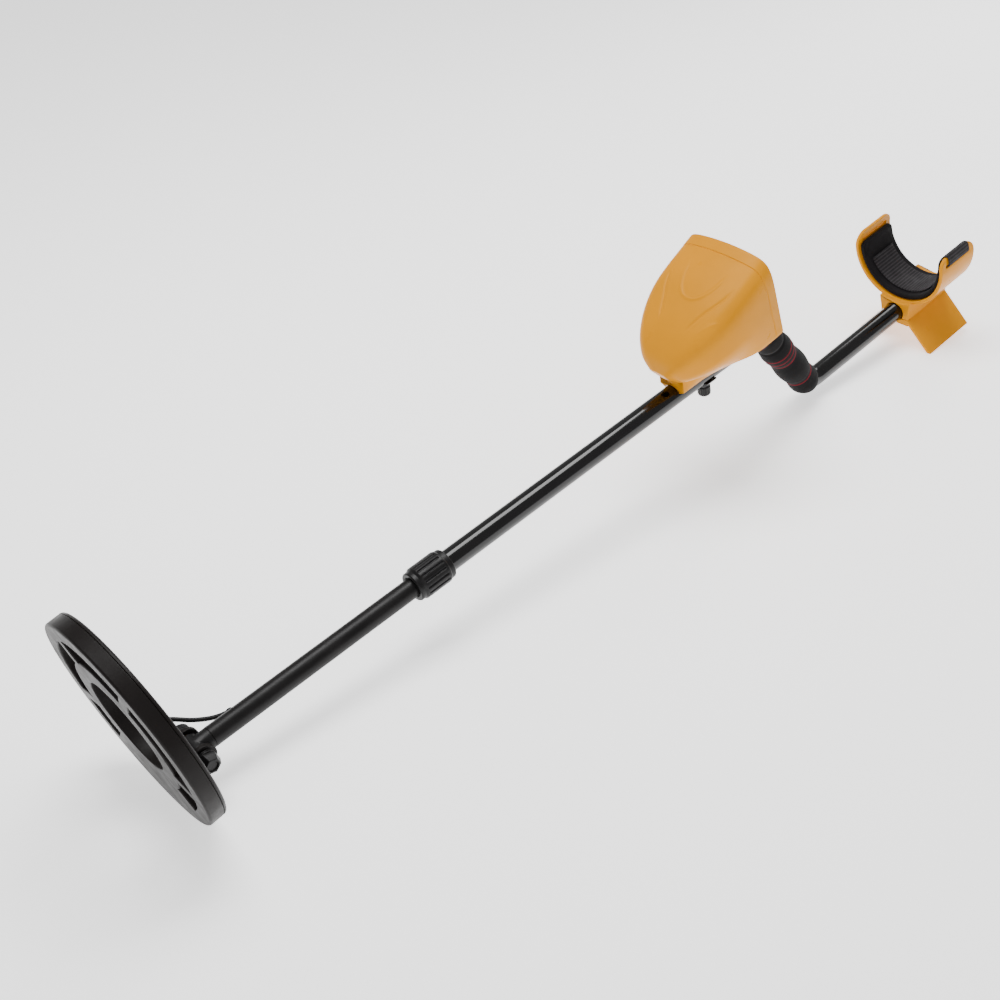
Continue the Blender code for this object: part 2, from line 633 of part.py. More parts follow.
def make_hood():
    """The moulded hood: a thin shell, open below and at the rear."""
    bm = bmesh.new()
    skins = []
    for inset, first in ((0.0, 0), (HOOD_T, 1)):
        skins.append([[bm.verts.new(p) for p in hood_loop(st, inset)] for st in HOOD_STATIONS[first:]])
    for skin in skins:
        for low, high in zip(skin, skin[1:]):
            for i in range(len(low) - 1):
                bm.faces.new((low[i], low[i + 1], high[i + 1], high[i]))
        bm.faces.new(skin[0])
    outer, inner = skins
    for i in range(len(outer[-1]) - 1):
        bm.faces.new((outer[-1][i], outer[-1][i + 1], inner[-1][i + 1], inner[-1][i]))
    for end in (0, -1):
        edge = [ring[end] for ring in outer]
        back = [ring[end] for ring in inner]
        for k in range(1, len(back)):
            bm.faces.new((edge[k], edge[k + 1], back[k], back[k - 1]))
        bm.faces.new((edge[0], edge[1], back[0]))
    bm.faces.new((outer[0][0], inner[0][0], inner[0][-1], outer[0][-1]))
    finish_object("hood", bm, ROD, "yellow")


def make_base():
    """The box's underside: a shallow tray that narrows to a saddle over the rod."""
    loops = []
    for number, (s_low, _, half, _, u_low, _, _) in enumerate(HOOD_STATIONS[1:]):
        edge = half - HOOD_T - GAP
        top = u_low - GAP
        keel = min(SADDLE_HALF - 0.002, edge * 0.6)
        floor = 0.0147 if number else top - 0.0004
        loops.append([Vector((s_low, -edge, top)), Vector((s_low, -edge, top - 0.002)),
                      Vector((s_low, -keel, 0.0119)), Vector((s_low, keel, 0.0119)),
                      Vector((s_low, edge, top - 0.002)), Vector((s_low, edge, top)),
                      Vector((s_low, keel - 0.001, floor)), Vector((s_low, 0.001 - keel, floor))])
    for point in loops[-1]:
        point.x -= 0.0005
    tray = loft_mesh(loops)
    bmesh.ops.triangulate(tray, faces=tray.faces)
    base = finish_object("base_tray", tray, ROD, "yellow", smooth=False)
    join(base, hood_rear_wall(), ROD)
    bore = arc(0, 0, ROD_R + GAP, 132, 48, 8)
    saddle = [(SADDLE_HALF, bore[0][1]), (SADDLE_HALF, 0.0141), (-SADDLE_HALF, 0.0141),
              (-SADDLE_HALF, bore[0][1])] + bore
    join(base, loft_mesh([[Vector((s, y, u)) for y, u in saddle] for s in SADDLE_S]), ROD)
    for s, radius in ((LEAD_HOLE_S, 0.0032), (THUMB_S, SCREW_R + GAP)):
        cut(base, lathe_mesh(disc_profile(radius, 0.0, 0.03), 14),
            ROD @ frame((s, 0, 0), (1, 0, 0), (0, 1, 0), (0, 0, 1)))


def hood_rear_wall():
    """The tray's rear wall, between its two sloping sides and the panel's foot."""
    s_low, _, half, _, u_low, _, _ = BOX_REAR
    edge = half - HOOD_T - GAP
    keel = SADDLE_HALF - 0.002
    top = u_low - GAP
    outline = [(0.001 - edge, top - 0.0012), (-keel, 0.0133), (keel, 0.0133), (edge - 0.001, top - 0.0012),
               (edge - 0.003, top - 0.0002), (0.003 - edge, top - 0.0002)]
    return loft_mesh([[Vector((s, y, u)) for y, u in outline] for s in (s_low - 0.0036, s_low - 0.0010)])


def panel_outline(inset):
    """The panel's outline in the panel frame: the hood's rear loop, inset, with a flat foot."""
    _, _, _, half, u_low, u_top, power = BOX_REAR
    tall = (u_top - u_low) / math.cos(PANEL_LEAN) - 0.0036
    foot = 0.0006
    return [(across * (half - inset), foot + (tall - inset - foot) * rise * (1 - CROWN * across * across))
            for across, rise in hood_section(power)]


def make_panel():
    """The rear panel with the window, controls, jack and speaker holes."""
    recess = -0.0042
    panel = finish_object("rear_panel", prism_mesh(panel_outline(HOOD_T + 0.0006), recess - PANEL_T, recess),
                          PANEL, "satin_black")
    x, y, width, height = WINDOW
    through = (recess - 0.01, recess + 0.01)
    cut(panel, prism_mesh(rounded_rect(x, y, width - 0.004, height - 0.004, 0.002), *through), PANEL)
    cut(panel, prism_mesh(rounded_rect(x, y, width + 2 * GAP, height + 2 * GAP, 0.003), recess - 0.0014,
                          recess + 0.01), PANEL)
    holes = [(kx, KNOB_Y, 0.0034) for kx in KNOB_X] + [(bx, BUTTON_Y, BUTTON_R + GAP) for bx in BUTTON_X]
    holes += [(JACK_XY[0], JACK_XY[1], 0.0034)]
    holes += [(SPEAKER_XY[0], SPEAKER_XY[1], 0.0014)]
    holes += [(SPEAKER_XY[0] + 0.0062 * math.cos(math.radians(60 * k)),
               SPEAKER_XY[1] + 0.0062 * math.sin(math.radians(60 * k)), 0.0014) for k in range(6)]
    holes += [(px, py, 0.0016) for px, py in SCREWS]
    for hx, hy, radius in holes:
        cut(panel, lathe_mesh(disc_profile(radius, *through), 14), PANEL @ Matrix.Translation((hx, hy, 0)))

    glass = prism_mesh(rounded_rect(x, y, width, height, 0.003), recess - 0.0014 + GAP, recess + 0.0002)
    finish_object("display_window", glass, PANEL, "clear")
    module = box_mesh((x - 0.0300, y - 0.0155, recess - 0.0080), (x + 0.0300, y + 0.0155, recess - PANEL_T - GAP))
    finish_object("display_module", module, PANEL, "display", smooth=False)
    board = box_mesh((-0.0420, 0.0040, -0.0225), (0.0420, 0.0680, -0.0209))
    finish_object("circuit_board", board, PANEL, "board", smooth=False)


SCREWS = ((-0.0455, 0.0100), (0.0455, 0.0100), (-0.0410, 0.0775), (0.0410, 0.0775))


def make_controls():
    """Knobs on their potentiometers, push buttons, jack, speaker and panel screws."""
    recess = -0.0042
    back = recess - PANEL_T - GAP
    for number, kx in enumerate(KNOB_X, 1):
        place = PANEL @ Matrix.Translation((kx, KNOB_Y, 0))
        shaft = [(0.0, back - 0.0090), (0.0082, back - 0.0090), (0.0082, back), (0.0030, back),
                 (0.0030, recess + 0.0090), (0.0, recess + 0.0090)]
        finish_object(f"potentiometer_{number}", lathe_mesh(shaft, 20), place, "steel")
        knob = [(0.0033, recess + 0.0008), (KNOB_R, recess + 0.0008), (KNOB_R, recess + 0.0040),
                (KNOB_R - 0.0012, recess + 0.0118), (KNOB_R - 0.0024, recess + 0.0130), (0.0, recess + 0.0130),
                (0.0, recess + 0.0094), (0.0033, recess + 0.0094)]
        finish_object(f"knob_{number}", lathe_mesh(knob, 32), place, "satin_black")
    for number, bx in enumerate(BUTTON_X, 1):
        place = PANEL @ Matrix.Translation((bx, BUTTON_Y, 0))
        cap = [(0.0, back - 0.0030), (BUTTON_R + 0.0012, back - 0.0030), (BUTTON_R + 0.0012, back - 0.0018),
               (BUTTON_R, back - 0.0018), (BUTTON_R, recess + 0.0018), (BUTTON_R - 0.0008, recess + 0.0026),
               (0.0, recess + 0.0030)]
        finish_object(f"button_{number}", lathe_mesh(cap, 20), place, "rubber")
    jack = [(0.0018, back - 0.0090), (0.0050, back - 0.0090), (0.0050, back), (0.0030, back),
            (0.0030, recess + GAP), (0.0050, recess + GAP), (0.0050, recess + 0.0022), (0.0018, recess + 0.0022)]
    finish_object("headphone_jack", lathe_mesh(jack, 24), PANEL @ Matrix.Translation((*JACK_XY, 0)), "steel")
    cone = [(0.0, back - 0.0090), (0.0070, back - 0.0090), (0.0070, back - 0.0060), (SPEAKER_R, back - 0.0030),
            (SPEAKER_R, back), (SPEAKER_R - 0.0015, back), (0.0030, back - 0.0035), (0.0, back - 0.0035)]
    finish_object("speaker", lathe_mesh(cone, 24), PANEL @ Matrix.Translation((*SPEAKER_XY, 0)), "rubber")
    for number, (px, py) in enumerate(SCREWS, 1):
        screw = [(0.0, recess - 0.0070), (0.0012, recess - 0.0070), (0.0012, recess + GAP),
                 (0.0026, recess + GAP), (0.0024, recess + 0.0012), (0.0012, recess + 0.0018), (0.0, recess + 0.0018)]
        finish_object(f"panel_screw_{number}", lathe_mesh(screw, 16), PANEL @ Matrix.Translation((px, py, 0)),
                      "steel")


def make_power():
    """Two block batteries in a holder on the tray, and the lead up from the rod."""
    bottom = 0.0300
    place = ROD @ Matrix.Translation((0.6300, 0, bottom))
    holder = finish_object("battery_holder", box_mesh((-0.0270, -0.0200, 0), (0.0200, 0.0200, 0.0120)), place,
                           "rubber", smooth=False)
    cut(holder, box_mesh((-0.0250, -0.0182, 0.0015), (0.0180, 0.0182, 0.02)), place)
    for number, side in enumerate((-1, 1), 1):
        y = side * 0.0090
        cell = box_mesh((-0.0245, y - 0.0087, 0.0018), (0.0175, y + 0.0087, 0.0260))
        finish_object(f"battery_{number}", cell, place, "battery", smooth=False)


def make_thumb_screw():
    """The ribbed screw that runs up through a curved washer and the rod into the box's saddle."""
    place = ROD @ frame((THUMB_S, 0, 0), (1, 0, 0), (0, -1, 0), (0, 0, -1))
    low = ROD_R + 0.0024 + GAP
    profile = [(0.0, -0.0125), (SCREW_R, -0.0125), (SCREW_R, low), (0.0058, low), (0.0058, low + 0.0014),
               (0.0069, low + 0.0024), (0.0069, 0.0248), (0.0060, 0.0262), (0.0, 0.0262)]
    finish_object("thumb_screw", lathe_mesh(profile, 24), place, "satin_black")
    washer = finish_object("saddle_washer", lathe_mesh(ring_profile(ROD_R + GAP, ROD_R + 0.0024, -0.0075, 0.0075), 32),
                          ROD @ along_x(THUMB_S), "satin_black")
    cut(washer, box_mesh((THUMB_S - 0.02, -0.02, -0.0052), (THUMB_S + 0.02, 0.02, 0.02)), ROD)
    cut(washer, lathe_mesh(disc_profile(SCREW_R + GAP, 0.0, 0.03), 16), place)


# ---------------------------------------------------------------- armrest
def cuff_outline(radius, top, steps=16, lean=0.0):
    """Half of the cuff's U in the arm frame's y and z: round below, straight above."""
    centre = CUFF_BOTTOM + CUFF_R
    points = [(radius - lean, centre + top)]
    points += [(x, centre + y) for x, y in arc(0, 0, radius, 0, -180, steps)]
    points.append((lean - radius, centre + top))
    return points


def u_mesh(outer, inner, top, x0, x1, steps=16, lean=0.0):
    """A U-shaped shell between two radii, along the arm tube."""
    outline = cuff_outline(outer, top, steps, lean) + cuff_outline(inner, top, steps, lean)[::-1]
    return loft_mesh([[Vector((x, y, z)) for y, z in outline] for x in (x0, x1)])


def make_cuff():
    """The arm cuff with a strap slot near each tip, and its flared block over the tube."""
    centre = CUFF_BOTTOM + CUFF_R
    cuff = finish_object("arm_cuff", u_mesh(CUFF_R, CUFF_R - CUFF_T, CUFF_WALL, *CUFF_X, 24, CUFF_LEAN), ARM,
                         "yellow")
    middle = sum(CUFF_X) / 2
    top = centre + CUFF_WALL
    flat = frame((0, 0, 0), (1, 0, 0), (0, 0, 1), (0, -1, 0))
    for x, sign in ((CUFF_X[0], 1), (CUFF_X[1], -1)):
        outline = [(x - sign * 0.002, top + 0.002), (x + sign * TIP_R, top + 0.002)]
        outline += [(x + sign * TIP_R * (1 - math.sin(a)), top - TIP_R * (1 - math.cos(a)))
                    for a in (math.pi * k / 12 for k in range(7))]
        outline.append((x - sign * 0.002, top - TIP_R))
        cut(cuff, prism_mesh(outline, -0.08, 0.08), ARM @ flat)
    slot = box_mesh((middle - SLOT[0] / 2, -0.08, top - SLOT_DOWN - SLOT[1]), (middle + SLOT[0] / 2, 0.08,
                                                                           top - SLOT_DOWN))
    cut(cuff, slot, ARM)
    (low_y, low_z), (high_y, high_z) = BLOCK
    outline = [(low_y, low_z), (high_y, high_z), (-high_y, high_z), (-low_y, low_z)]
    join(cuff, loft_mesh([[Vector((x, y, z)) for y, z in outline] for x in BLOCK_X]), ARM)
    cut(cuff, lathe_mesh(disc_profile(CUFF_R - CUFF_T, CUFF_X[0] - 0.03, CUFF_X[1] + 0.05), 96),
        ARM @ along_x(0, 0, centre))
    cut(cuff, lathe_mesh(disc_profile(ROD_R + GAP, -0.02, 0.1), 32), ARM @ along_x(0))
    for x, y in STAND_SCREWS:
        cut(cuff, lathe_mesh(disc_profile(0.0016, -0.03, 0.0030), 12), ARM @ Matrix.Translation((x, y, 0)))


def make_stand():
    """The lower saddle with its two splayed legs, and the screws that hold it up to the block."""
    bottom = -0.0150
    (top_y, top_z), (foot_y, foot_z) = LEG
    length = math.hypot(foot_y - top_y, foot_z - top_z)
    inward = LEG_T * length / (top_z - foot_z)
    stand = finish_object("stand", box_mesh((BLOCK_X[0], -top_y, bottom), (BLOCK_X[1], top_y, SEAM_V)), ARM,
                          "yellow", smooth=False)
    for side in (-1, 1):
        outline = [(top_y, top_z), (top_y - inward, top_z), (foot_y - inward, foot_z), (foot_y, foot_z)]
        join(stand, loft_mesh([[Vector((x, side * y, z)) for y, z in outline] for x in BLOCK_X]), ARM)
    cut(stand, lathe_mesh(disc_profile(ROD_R + GAP, -0.02, 0.1), 32), ARM @ along_x(0))
    for number, (x, y) in enumerate(STAND_SCREWS, 1):
        place = ARM @ Matrix.Translation((x, y, 0))
        cut(stand, lathe_mesh(disc_profile(0.0016, -0.03, 0.0), 12), place)
        screw = [(0.0, bottom - 0.0022), (0.0022, bottom - 0.0022), (0.0028, bottom - 0.0014),
                 (0.0028, bottom - GAP), (0.0013, bottom - GAP), (0.0013, 0.0016), (0.0, 0.0016)]
        finish_object(f"stand_screw_{number}", lathe_mesh(screw, 14), place, "steel")


def make_soft():
    """Plain solids for the cuff's foam pad and its webbing strap."""
    outer = CUFF_R - CUFF_T - GAP
    finish_object("arm_pad", u_mesh(outer, outer - PAD_T, CUFF_WALL - 0.0125, CUFF_X[0] + 0.003, CUFF_X[1] - 0.003, 20),
                  ARM, "foam_black")
    inner = outer - PAD_T - GAP
    middle = sum(CUFF_X) / 2
    finish_object("arm_strap", u_mesh(inner, inner - STRAP_T, 0.0, middle - STRAP_W / 2, middle + STRAP_W / 2, 20),
                  ARM, "webbing")


# ---------------------------------------------------------------- assembly
def centre_on_floor():
    """Moves the whole model so that its box is centred over the origin."""
    bpy.context.view_layer.update()
    graph = bpy.context.evaluated_depsgraph_get()
    low, high = [1e9] * 3, [-1e9] * 3
    for piece in bpy.context.scene.objects:
        mesh = piece.evaluated_get(graph).to_mesh()
        for vertex in mesh.vertices:
            place = piece.matrix_world @ vertex.co
            for k in range(3):
                low[k] = min(low[k], place[k])
                high[k] = max(high[k], place[k])
    shift = Vector((-(low[0] + high[0]) / 2, -(low[1] + high[1]) / 2, -low[2]))
    for piece in bpy.context.scene.objects:
        piece.matrix_world = Matrix.Translation(shift) @ piece.matrix_world
    return shift


def main():
    for old in list(bpy.data.objects):
        bpy.data.objects.remove(old)
    make_coil()
    make_gland()
    make_hinge()
    make_stem()
    make_collar()
    make_rod()
    make_grip()
    make_hood()
    make_base()
    make_panel()
    make_controls()
    make_power()
    make_thumb_screw()
    make_cuff()
    make_stand()
    make_soft()
    cord("coil_lead", cable_route(), CABLE_R, "rubber")
    cord("stem_lead", inner_route(), CABLE_R, "rubber")
    return centre_on_floor()


SHIFT = main()
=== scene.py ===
"""Looks of the metal detector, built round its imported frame.

World frame as in the frame: +X runs from the coil to the armrest, +Z is up, metres. The pieces are
made in four local frames: COIL, ROD, ARM and PANEL, all placed from the hinge pin.
"""
import json
import math

import bmesh
import bpy
import numpy as np
from mathutils import Matrix, Vector, kdtree

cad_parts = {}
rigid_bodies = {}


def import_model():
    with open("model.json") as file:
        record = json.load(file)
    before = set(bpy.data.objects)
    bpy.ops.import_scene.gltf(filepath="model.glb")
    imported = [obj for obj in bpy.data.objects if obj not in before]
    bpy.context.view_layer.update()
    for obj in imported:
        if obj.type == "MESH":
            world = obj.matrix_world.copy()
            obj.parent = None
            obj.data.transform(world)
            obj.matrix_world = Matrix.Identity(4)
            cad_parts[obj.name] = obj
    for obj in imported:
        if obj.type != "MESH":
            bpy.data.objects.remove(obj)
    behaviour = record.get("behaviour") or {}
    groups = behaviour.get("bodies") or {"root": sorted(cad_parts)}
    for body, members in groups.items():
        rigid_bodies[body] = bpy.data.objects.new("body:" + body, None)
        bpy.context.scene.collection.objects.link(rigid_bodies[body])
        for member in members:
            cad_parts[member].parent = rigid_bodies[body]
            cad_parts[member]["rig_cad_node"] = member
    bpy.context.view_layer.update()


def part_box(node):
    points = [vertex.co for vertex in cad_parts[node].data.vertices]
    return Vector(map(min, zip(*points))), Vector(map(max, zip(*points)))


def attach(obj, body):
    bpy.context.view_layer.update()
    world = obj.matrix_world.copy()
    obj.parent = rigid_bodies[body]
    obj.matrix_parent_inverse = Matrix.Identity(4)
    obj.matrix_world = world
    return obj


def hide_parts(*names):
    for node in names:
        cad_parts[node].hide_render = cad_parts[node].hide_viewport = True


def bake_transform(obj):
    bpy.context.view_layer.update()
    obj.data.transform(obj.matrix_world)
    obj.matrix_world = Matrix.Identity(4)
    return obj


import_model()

# ---------------------------------------------------------------- driving dimensions
GAP = 0.0003
ROD_PITCH = math.radians(6.721)
LEAN = ROD_PITCH + math.radians(4.72)
ARM_PITCH = ROD_PITCH + math.radians(1.39)

# coil
COIL_R, COIL_THICK, COIL_TOP, COIL_CENTRE = 0.1030, 0.0174, -0.0190, 0.0706
HOLE_R, GAP_IN_R, GAP_OUT_R = 0.0445, 0.0648, 0.0860
SPOKE_HALF = 0.0060
SPOKE_ANGLES = (34.0, 105.0)
WEB_HALF = 45.0
LID_T = 0.0032
EDGE_R, TOP_EDGE_R = 0.0023, 0.0030
GLAND_XY = (0.0120, -0.0390)

# hinge
EAR_IN, EAR_T, EAR_R = 0.0112, 0.0048, 0.0125
BOLT_R, WASHER_T, HEAD_R, HEAD_LONG = 0.0030, 0.0012, 0.0102, 0.0115
SPACER_R, KNOB_START, KNOB_END = 0.0092, 0.0199, 0.0294

# stem, collar and rod, along the rod from the hinge pin
STEM_R, STEM_BORE, STEM_START, STEM_END, CABLE_HOLE_S = 0.0096, 0.0078, 0.0165, 0.5050, 0.0430
ROD_R, ROD_BORE, ROD_START = 0.0110, 0.0099, 0.2560
COLLAR_S = (0.2416, 0.2827)
BEND1_S, BEND1_R, BEND2_S, BEND2_R, ARM_U, ARM_END_S = 0.7270, 0.0350, 0.8010, 0.0300, -0.1143, 1.0350
CABLE_R = 0.0021

# foam grip: radius by distance from its upper end, and its red rings
GRIP_START_S = 0.7015
GRIP_LOBES = ((0.000, 0.0140), (0.003, 0.0160), (0.010, 0.0172), (0.018, 0.0168), (0.026, 0.0160),
              (0.034, 0.0170), (0.044, 0.0172), (0.0495, 0.0156), (0.0528, 0.0168), (0.0648, 0.0184),
              (0.0768, 0.0177), (0.0838, 0.0165), (0.0958, 0.0179), (0.1078, 0.0186), (0.1198, 0.0176),
              (0.1268, 0.0162), (0.1378, 0.0170), (0.1458, 0.0174), (0.1528, 0.0160), (0.1568, 0.0140))
GRIP_RINGS = (0.0205, 0.0658, 0.0740, 0.0828, 0.1290)
RING_HALF = 0.0011

# control box
HOOD_T = 0.0024               # the moulding's wall
BOX_REAR = (0.7010, 0.6860, 0.0540, 0.0540, 0.0365, 0.1290, 0.21)
HOOD_STATIONS = (
    (0.5850, 0.5730, 0.0090, 0.0130, 0.0250, 0.0400, 0.42),
    (0.5890, 0.5755, 0.0150, 0.0245, 0.0235, 0.0530, 0.33),
    (0.6000, 0.5840, 0.0200, 0.0350, 0.0225, 0.0665, 0.27),
    (0.6130, 0.5980, 0.0270, 0.0440, 0.0235, 0.0800, 0.24),
    (0.6300, 0.6140, 0.0360, 0.0505, 0.0265, 0.0915, 0.22),
    (0.6480, 0.6310, 0.0450, 0.0540, 0.0300, 0.1020, 0.21),
    (0.6660, 0.6500, 0.0515, 0.0550, 0.0320, 0.1120, 0.21),
    (0.6880, 0.6720, 0.0535, 0.0548, 0.0345, 0.1220, 0.21),
    BOX_REAR,
)
DRAWN_IN, CROWN = 0.45, 0.06
SEAM_STATION = 7.15               # where the moulding line runs, counted in stations
# raised and sunk lines on the hood's right half, in the rod frame, with their height
HOOD_LINES = (
    (0.00100, ((0.6640, 0.0255, 0.1168), (0.6480, 0.0225, 0.1095), (0.6350, 0.0168, 0.1030),
               (0.6270, 0.0085, 0.0992), (0.6248, 0.0000, 0.0983))),
    (-0.00085, ((0.6530, 0.0400, 0.1090), (0.6350, 0.0355, 0.1020), (0.6200, 0.0270, 0.0940),
                (0.6100, 0.0220, 0.0880), (0.5960, 0.0160, 0.0775))),
    (0.00095, ((0.5960, 0.0270, 0.0740), (0.6040, 0.0315, 0.0805), (0.6120, 0.0370, 0.0855),
               (0.6175, 0.0430, 0.0880), (0.6200, 0.0480, 0.0850))),
)
LINE_WIDTH = 0.0013
SADDLE_HALF = 0.0148
THUMB_S = 0.6370
SCREW_R = 0.0025

# panel
PANEL_T, RECESS = 0.0030, -0.0042
WINDOW = (0.0, 0.0660, 0.0560, 0.0270)
KNOB_X, KNOB_Y, KNOB_R = (-0.0320, 0.0, 0.0320), 0.0170, 0.0098
BUTTON_X, BUTTON_Y, BUTTON_R = (0.0160, 0.0300), 0.0420, 0.0045
JACK_XY, SPEAKER_XY = (0.0430, 0.0420), (-0.0260, 0.0380)
PANEL_SCREWS = ((-0.0455, 0.0100), (0.0455, 0.0100), (-0.0410, 0.0775), (0.0410, 0.0775))

# armrest, in the arm frame
CUFF_X, CUFF_R, CUFF_T, CUFF_LEAN, TIP_R = (0.0, 0.0615), 0.0590, 0.0040, 0.0020, 0.0130
CUFF_BOTTOM, CUFF_WALL, SLOT_DOWN, SLOT = 0.0095, 0.0150, 0.0085, (0.0440, 0.0030)
CUFF_CENTRE = CUFF_BOTTOM + CUFF_R
PAD_T = 0.0060
BLOCK_X = (-0.0061, 0.0687)
BLOCK = ((0.0180, -0.0066), (0.0205, 0.0150))
SEAM_V, STAND_BOTTOM = -0.0069, -0.0150
LEG, LEG_T = ((0.0180, -0.0069), (0.0498, -0.0420)), 0.0036
STAND_SCREWS = ((0.0080, 0.0146), (0.0080, -0.0146), (0.0546, 0.0146), (0.0546, -0.0146))
STRAP_W, STRAP_T, STRAP_RIB, YARN = 0.0380, 0.0018, 0.0019, 0.0009


# ---------------------------------------------------------------- frames
def placing(origin, x_axis, y_axis, z_axis):
    """A placing matrix from an origin and three unit axes."""
    matrix = Matrix.Identity(4)
    for column, axis in enumerate((x_axis, y_axis, z_axis)):
        matrix.col[column][:3] = axis
    matrix.col[3][:3] = origin
    return matrix


def pitched(origin, pitch):
    """A frame whose x axis rises by pitch towards the user."""
    c, s = math.cos(pitch), math.sin(pitch)
    return placing(origin, (c, 0, s), (0, 1, 0), (-s, 0, c))


def along_x(x, y=0.0, z=0.0):
    """A frame whose own z axis points along +x."""
    return placing((x, y, z), (0, 1, 0), (0, 0, 1), (1, 0, 0))


spacer_low, spacer_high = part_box("hinge_spacer")
PIN = Vector(((spacer_low[0] + spacer_high[0]) / 2, 0.0, (spacer_low[2] + spacer_high[2]) / 2))
ROD = pitched(PIN, ROD_PITCH)
COIL = placing(PIN, (-math.sin(LEAN), 0, math.cos(LEAN)), (0, -1, 0), (math.cos(LEAN), 0, math.sin(LEAN)))
COIL_MIDDLE = COIL @ Matrix.Translation((COIL_CENTRE, 0, 0))
COIL_Y = COIL @ placing((0, 0, 0), (1, 0, 0), (0, 0, -1), (0, 1, 0))
ROD_Y = ROD @ placing((0, 0, 0), (1, 0, 0), (0, 0, -1), (0, 1, 0))
ARM_SLOPE = math.tan(ARM_PITCH - ROD_PITCH)
ARM_FRONT_S = 0.9685
ARM = pitched(ROD @ Vector((ARM_FRONT_S, 0, ARM_U + (ARM_FRONT_S - BEND2_S) * ARM_SLOPE)), ARM_PITCH)
PANEL_LEAN = math.atan2(BOX_REAR[0] - BOX_REAR[1], BOX_REAR[5] - BOX_REAR[4])
PANEL = ROD @ placing((BOX_REAR[0], 0, BOX_REAR[4]), (0, 1, 0),
                      (-math.sin(PANEL_LEAN), 0, math.cos(PANEL_LEAN)),
                      (math.cos(PANEL_LEAN), 0, math.sin(PANEL_LEAN)))
GLAND = COIL @ Matrix.Translation((*GLAND_XY, COIL_TOP))


# ---------------------------------------------------------------- camera, lights and floor
def make_camera():
    data = bpy.data.cameras.new("camera")
    data.sensor_fit = "HORIZONTAL"
    data.sensor_width = 36.0
    data.lens = 52.94
    camera = bpy.data.objects.new("camera", data)
    bpy.context.scene.collection.objects.link(camera)
    camera.matrix_world = placing((-0.83528, -0.8557, 0.91296), (0.73965, -0.6693, -0.07081),
                                  (0.43968, 0.4008, 0.80375), (-0.50958, -0.6256, 0.59072))
    bpy.context.scene.camera = camera


def area_light(name, place, aim, size, power, colour=(1, 1, 1)):
    data = bpy.data.lights.new(name, "AREA")
    data.shape = "RECTANGLE"
    data.size, data.size_y = size
    data.energy = power
    data.color = colour
    lamp = bpy.data.objects.new(name, data)
    bpy.context.scene.collection.objects.link(lamp)
    lamp.location = place
    lamp.rotation_euler = (Vector(aim) - Vector(place)).to_track_quat("-Z", "Y").to_euler()


def make_studio():
    """A pale floor, a pale surround and three soft boxes."""
    world = bpy.data.worlds.new("surround")
    world.use_nodes = True
    world.node_tree.nodes["Background"].inputs["Color"].default_value = (1.0, 1.0, 1.0, 1)
    world.node_tree.nodes["Background"].inputs["Strength"].default_value = 0.42
    bpy.context.scene.world = world
    area_light("top_box", (0.10, 0.30, 1.70), (0.0, 0.0, 0.1), (1.5, 0.8), 38)
    area_light("front_box", (-1.30, -1.30, 1.10), (0.0, 0.0, 0.1), (0.8, 0.8), 5.0)
    area_light("rear_box", (1.60, 0.50, 0.90), (0.3, 0.0, 0.1), (0.5, 1.2), 10)
    bm = bmesh.new()
    bmesh.ops.create_grid(bm, x_segments=2, y_segments=2, size=30.0)
    mesh = bpy.data.meshes.new("floor")
    bm.to_mesh(mesh)
    bm.free()
    floor = bpy.data.objects.new("floor", mesh)
    floor.location.z = -0.0002
    bpy.context.scene.collection.objects.link(floor)
    paint = bpy.data.materials.new("floor_paint")
    paint.use_nodes = True
    shader = paint.node_tree.nodes["Principled BSDF"]
    shader.inputs["Base Color"].default_value = (0.97, 0.97, 0.97, 1)
    shader.inputs["Roughness"].default_value = 0.9
    shader.inputs["Emission Color"].default_value = (1, 1, 1, 1)
    shader.inputs["Emission Strength"].default_value = 1.05
    mesh.materials.append(paint)


# ---------------------------------------------------------------- materials
def new_look(name, colour, roughness, **sockets):
    """A Principled material. Other sockets are given by name with underscores for spaces."""
    made = bpy.data.materials.new(name)
    made.use_nodes = True
    tree = made.node_tree
    shader = tree.nodes["Principled BSDF"]
    shader.inputs["Base Color"].default_value = (*colour, 1)
    shader.inputs["Roughness"].default_value = roughness
    for key, value in sockets.items():
        shader.inputs[key.replace("_", " ")].default_value = value
    return made, tree, shader


def texture(tree, kind, scale, output=0, uv=False, stretch=None, **settings):
    """A procedural texture in object space, or along the piece's own UVs."""
    coords = tree.nodes.new("ShaderNodeTexCoord")
    source = coords.outputs["UV" if uv else "Object"]
    if stretch:
        mapping = tree.nodes.new("ShaderNodeMapping")
        mapping.inputs["Scale"].default_value = stretch
        tree.links.new(source, mapping.inputs["Vector"])
        source = mapping.outputs["Vector"]
    node = tree.nodes.new("ShaderNodeTex" + kind)
    tree.links.new(source, node.inputs["Vector"])
    node.inputs["Scale"].default_value = scale
    for key, value in settings.items():
        socket = key.replace("_", " ")
        if socket in node.inputs:
            node.inputs[socket].default_value = value
        else:
            setattr(node, key, value)
    return node.outputs[output]


def ramp(tree, value, stops):
    """Turns a value into a colour between stops of (position, colour)."""
    node = tree.nodes.new("ShaderNodeValToRGB")
    elements = node.color_ramp.elements
    while len(elements) < len(stops):
        elements.new(0.5)
    for element, (position, colour) in zip(elements, stops):
        element.position = position
        element.color = (*colour, 1)
    tree.links.new(value, node.inputs["Fac"])
    return node.outputs["Color"]


def spread(tree, value, low, high, out_low, out_high):
    """Maps a value from one range to another."""
    node = tree.nodes.new("ShaderNodeMapRange")
    tree.links.new(value, node.inputs["Value"])
    for key, number in (("From Min", low), ("From Max", high), ("To Min", out_low), ("To Max", out_high)):
        node.inputs[key].default_value = number
    return node.outputs["Result"]


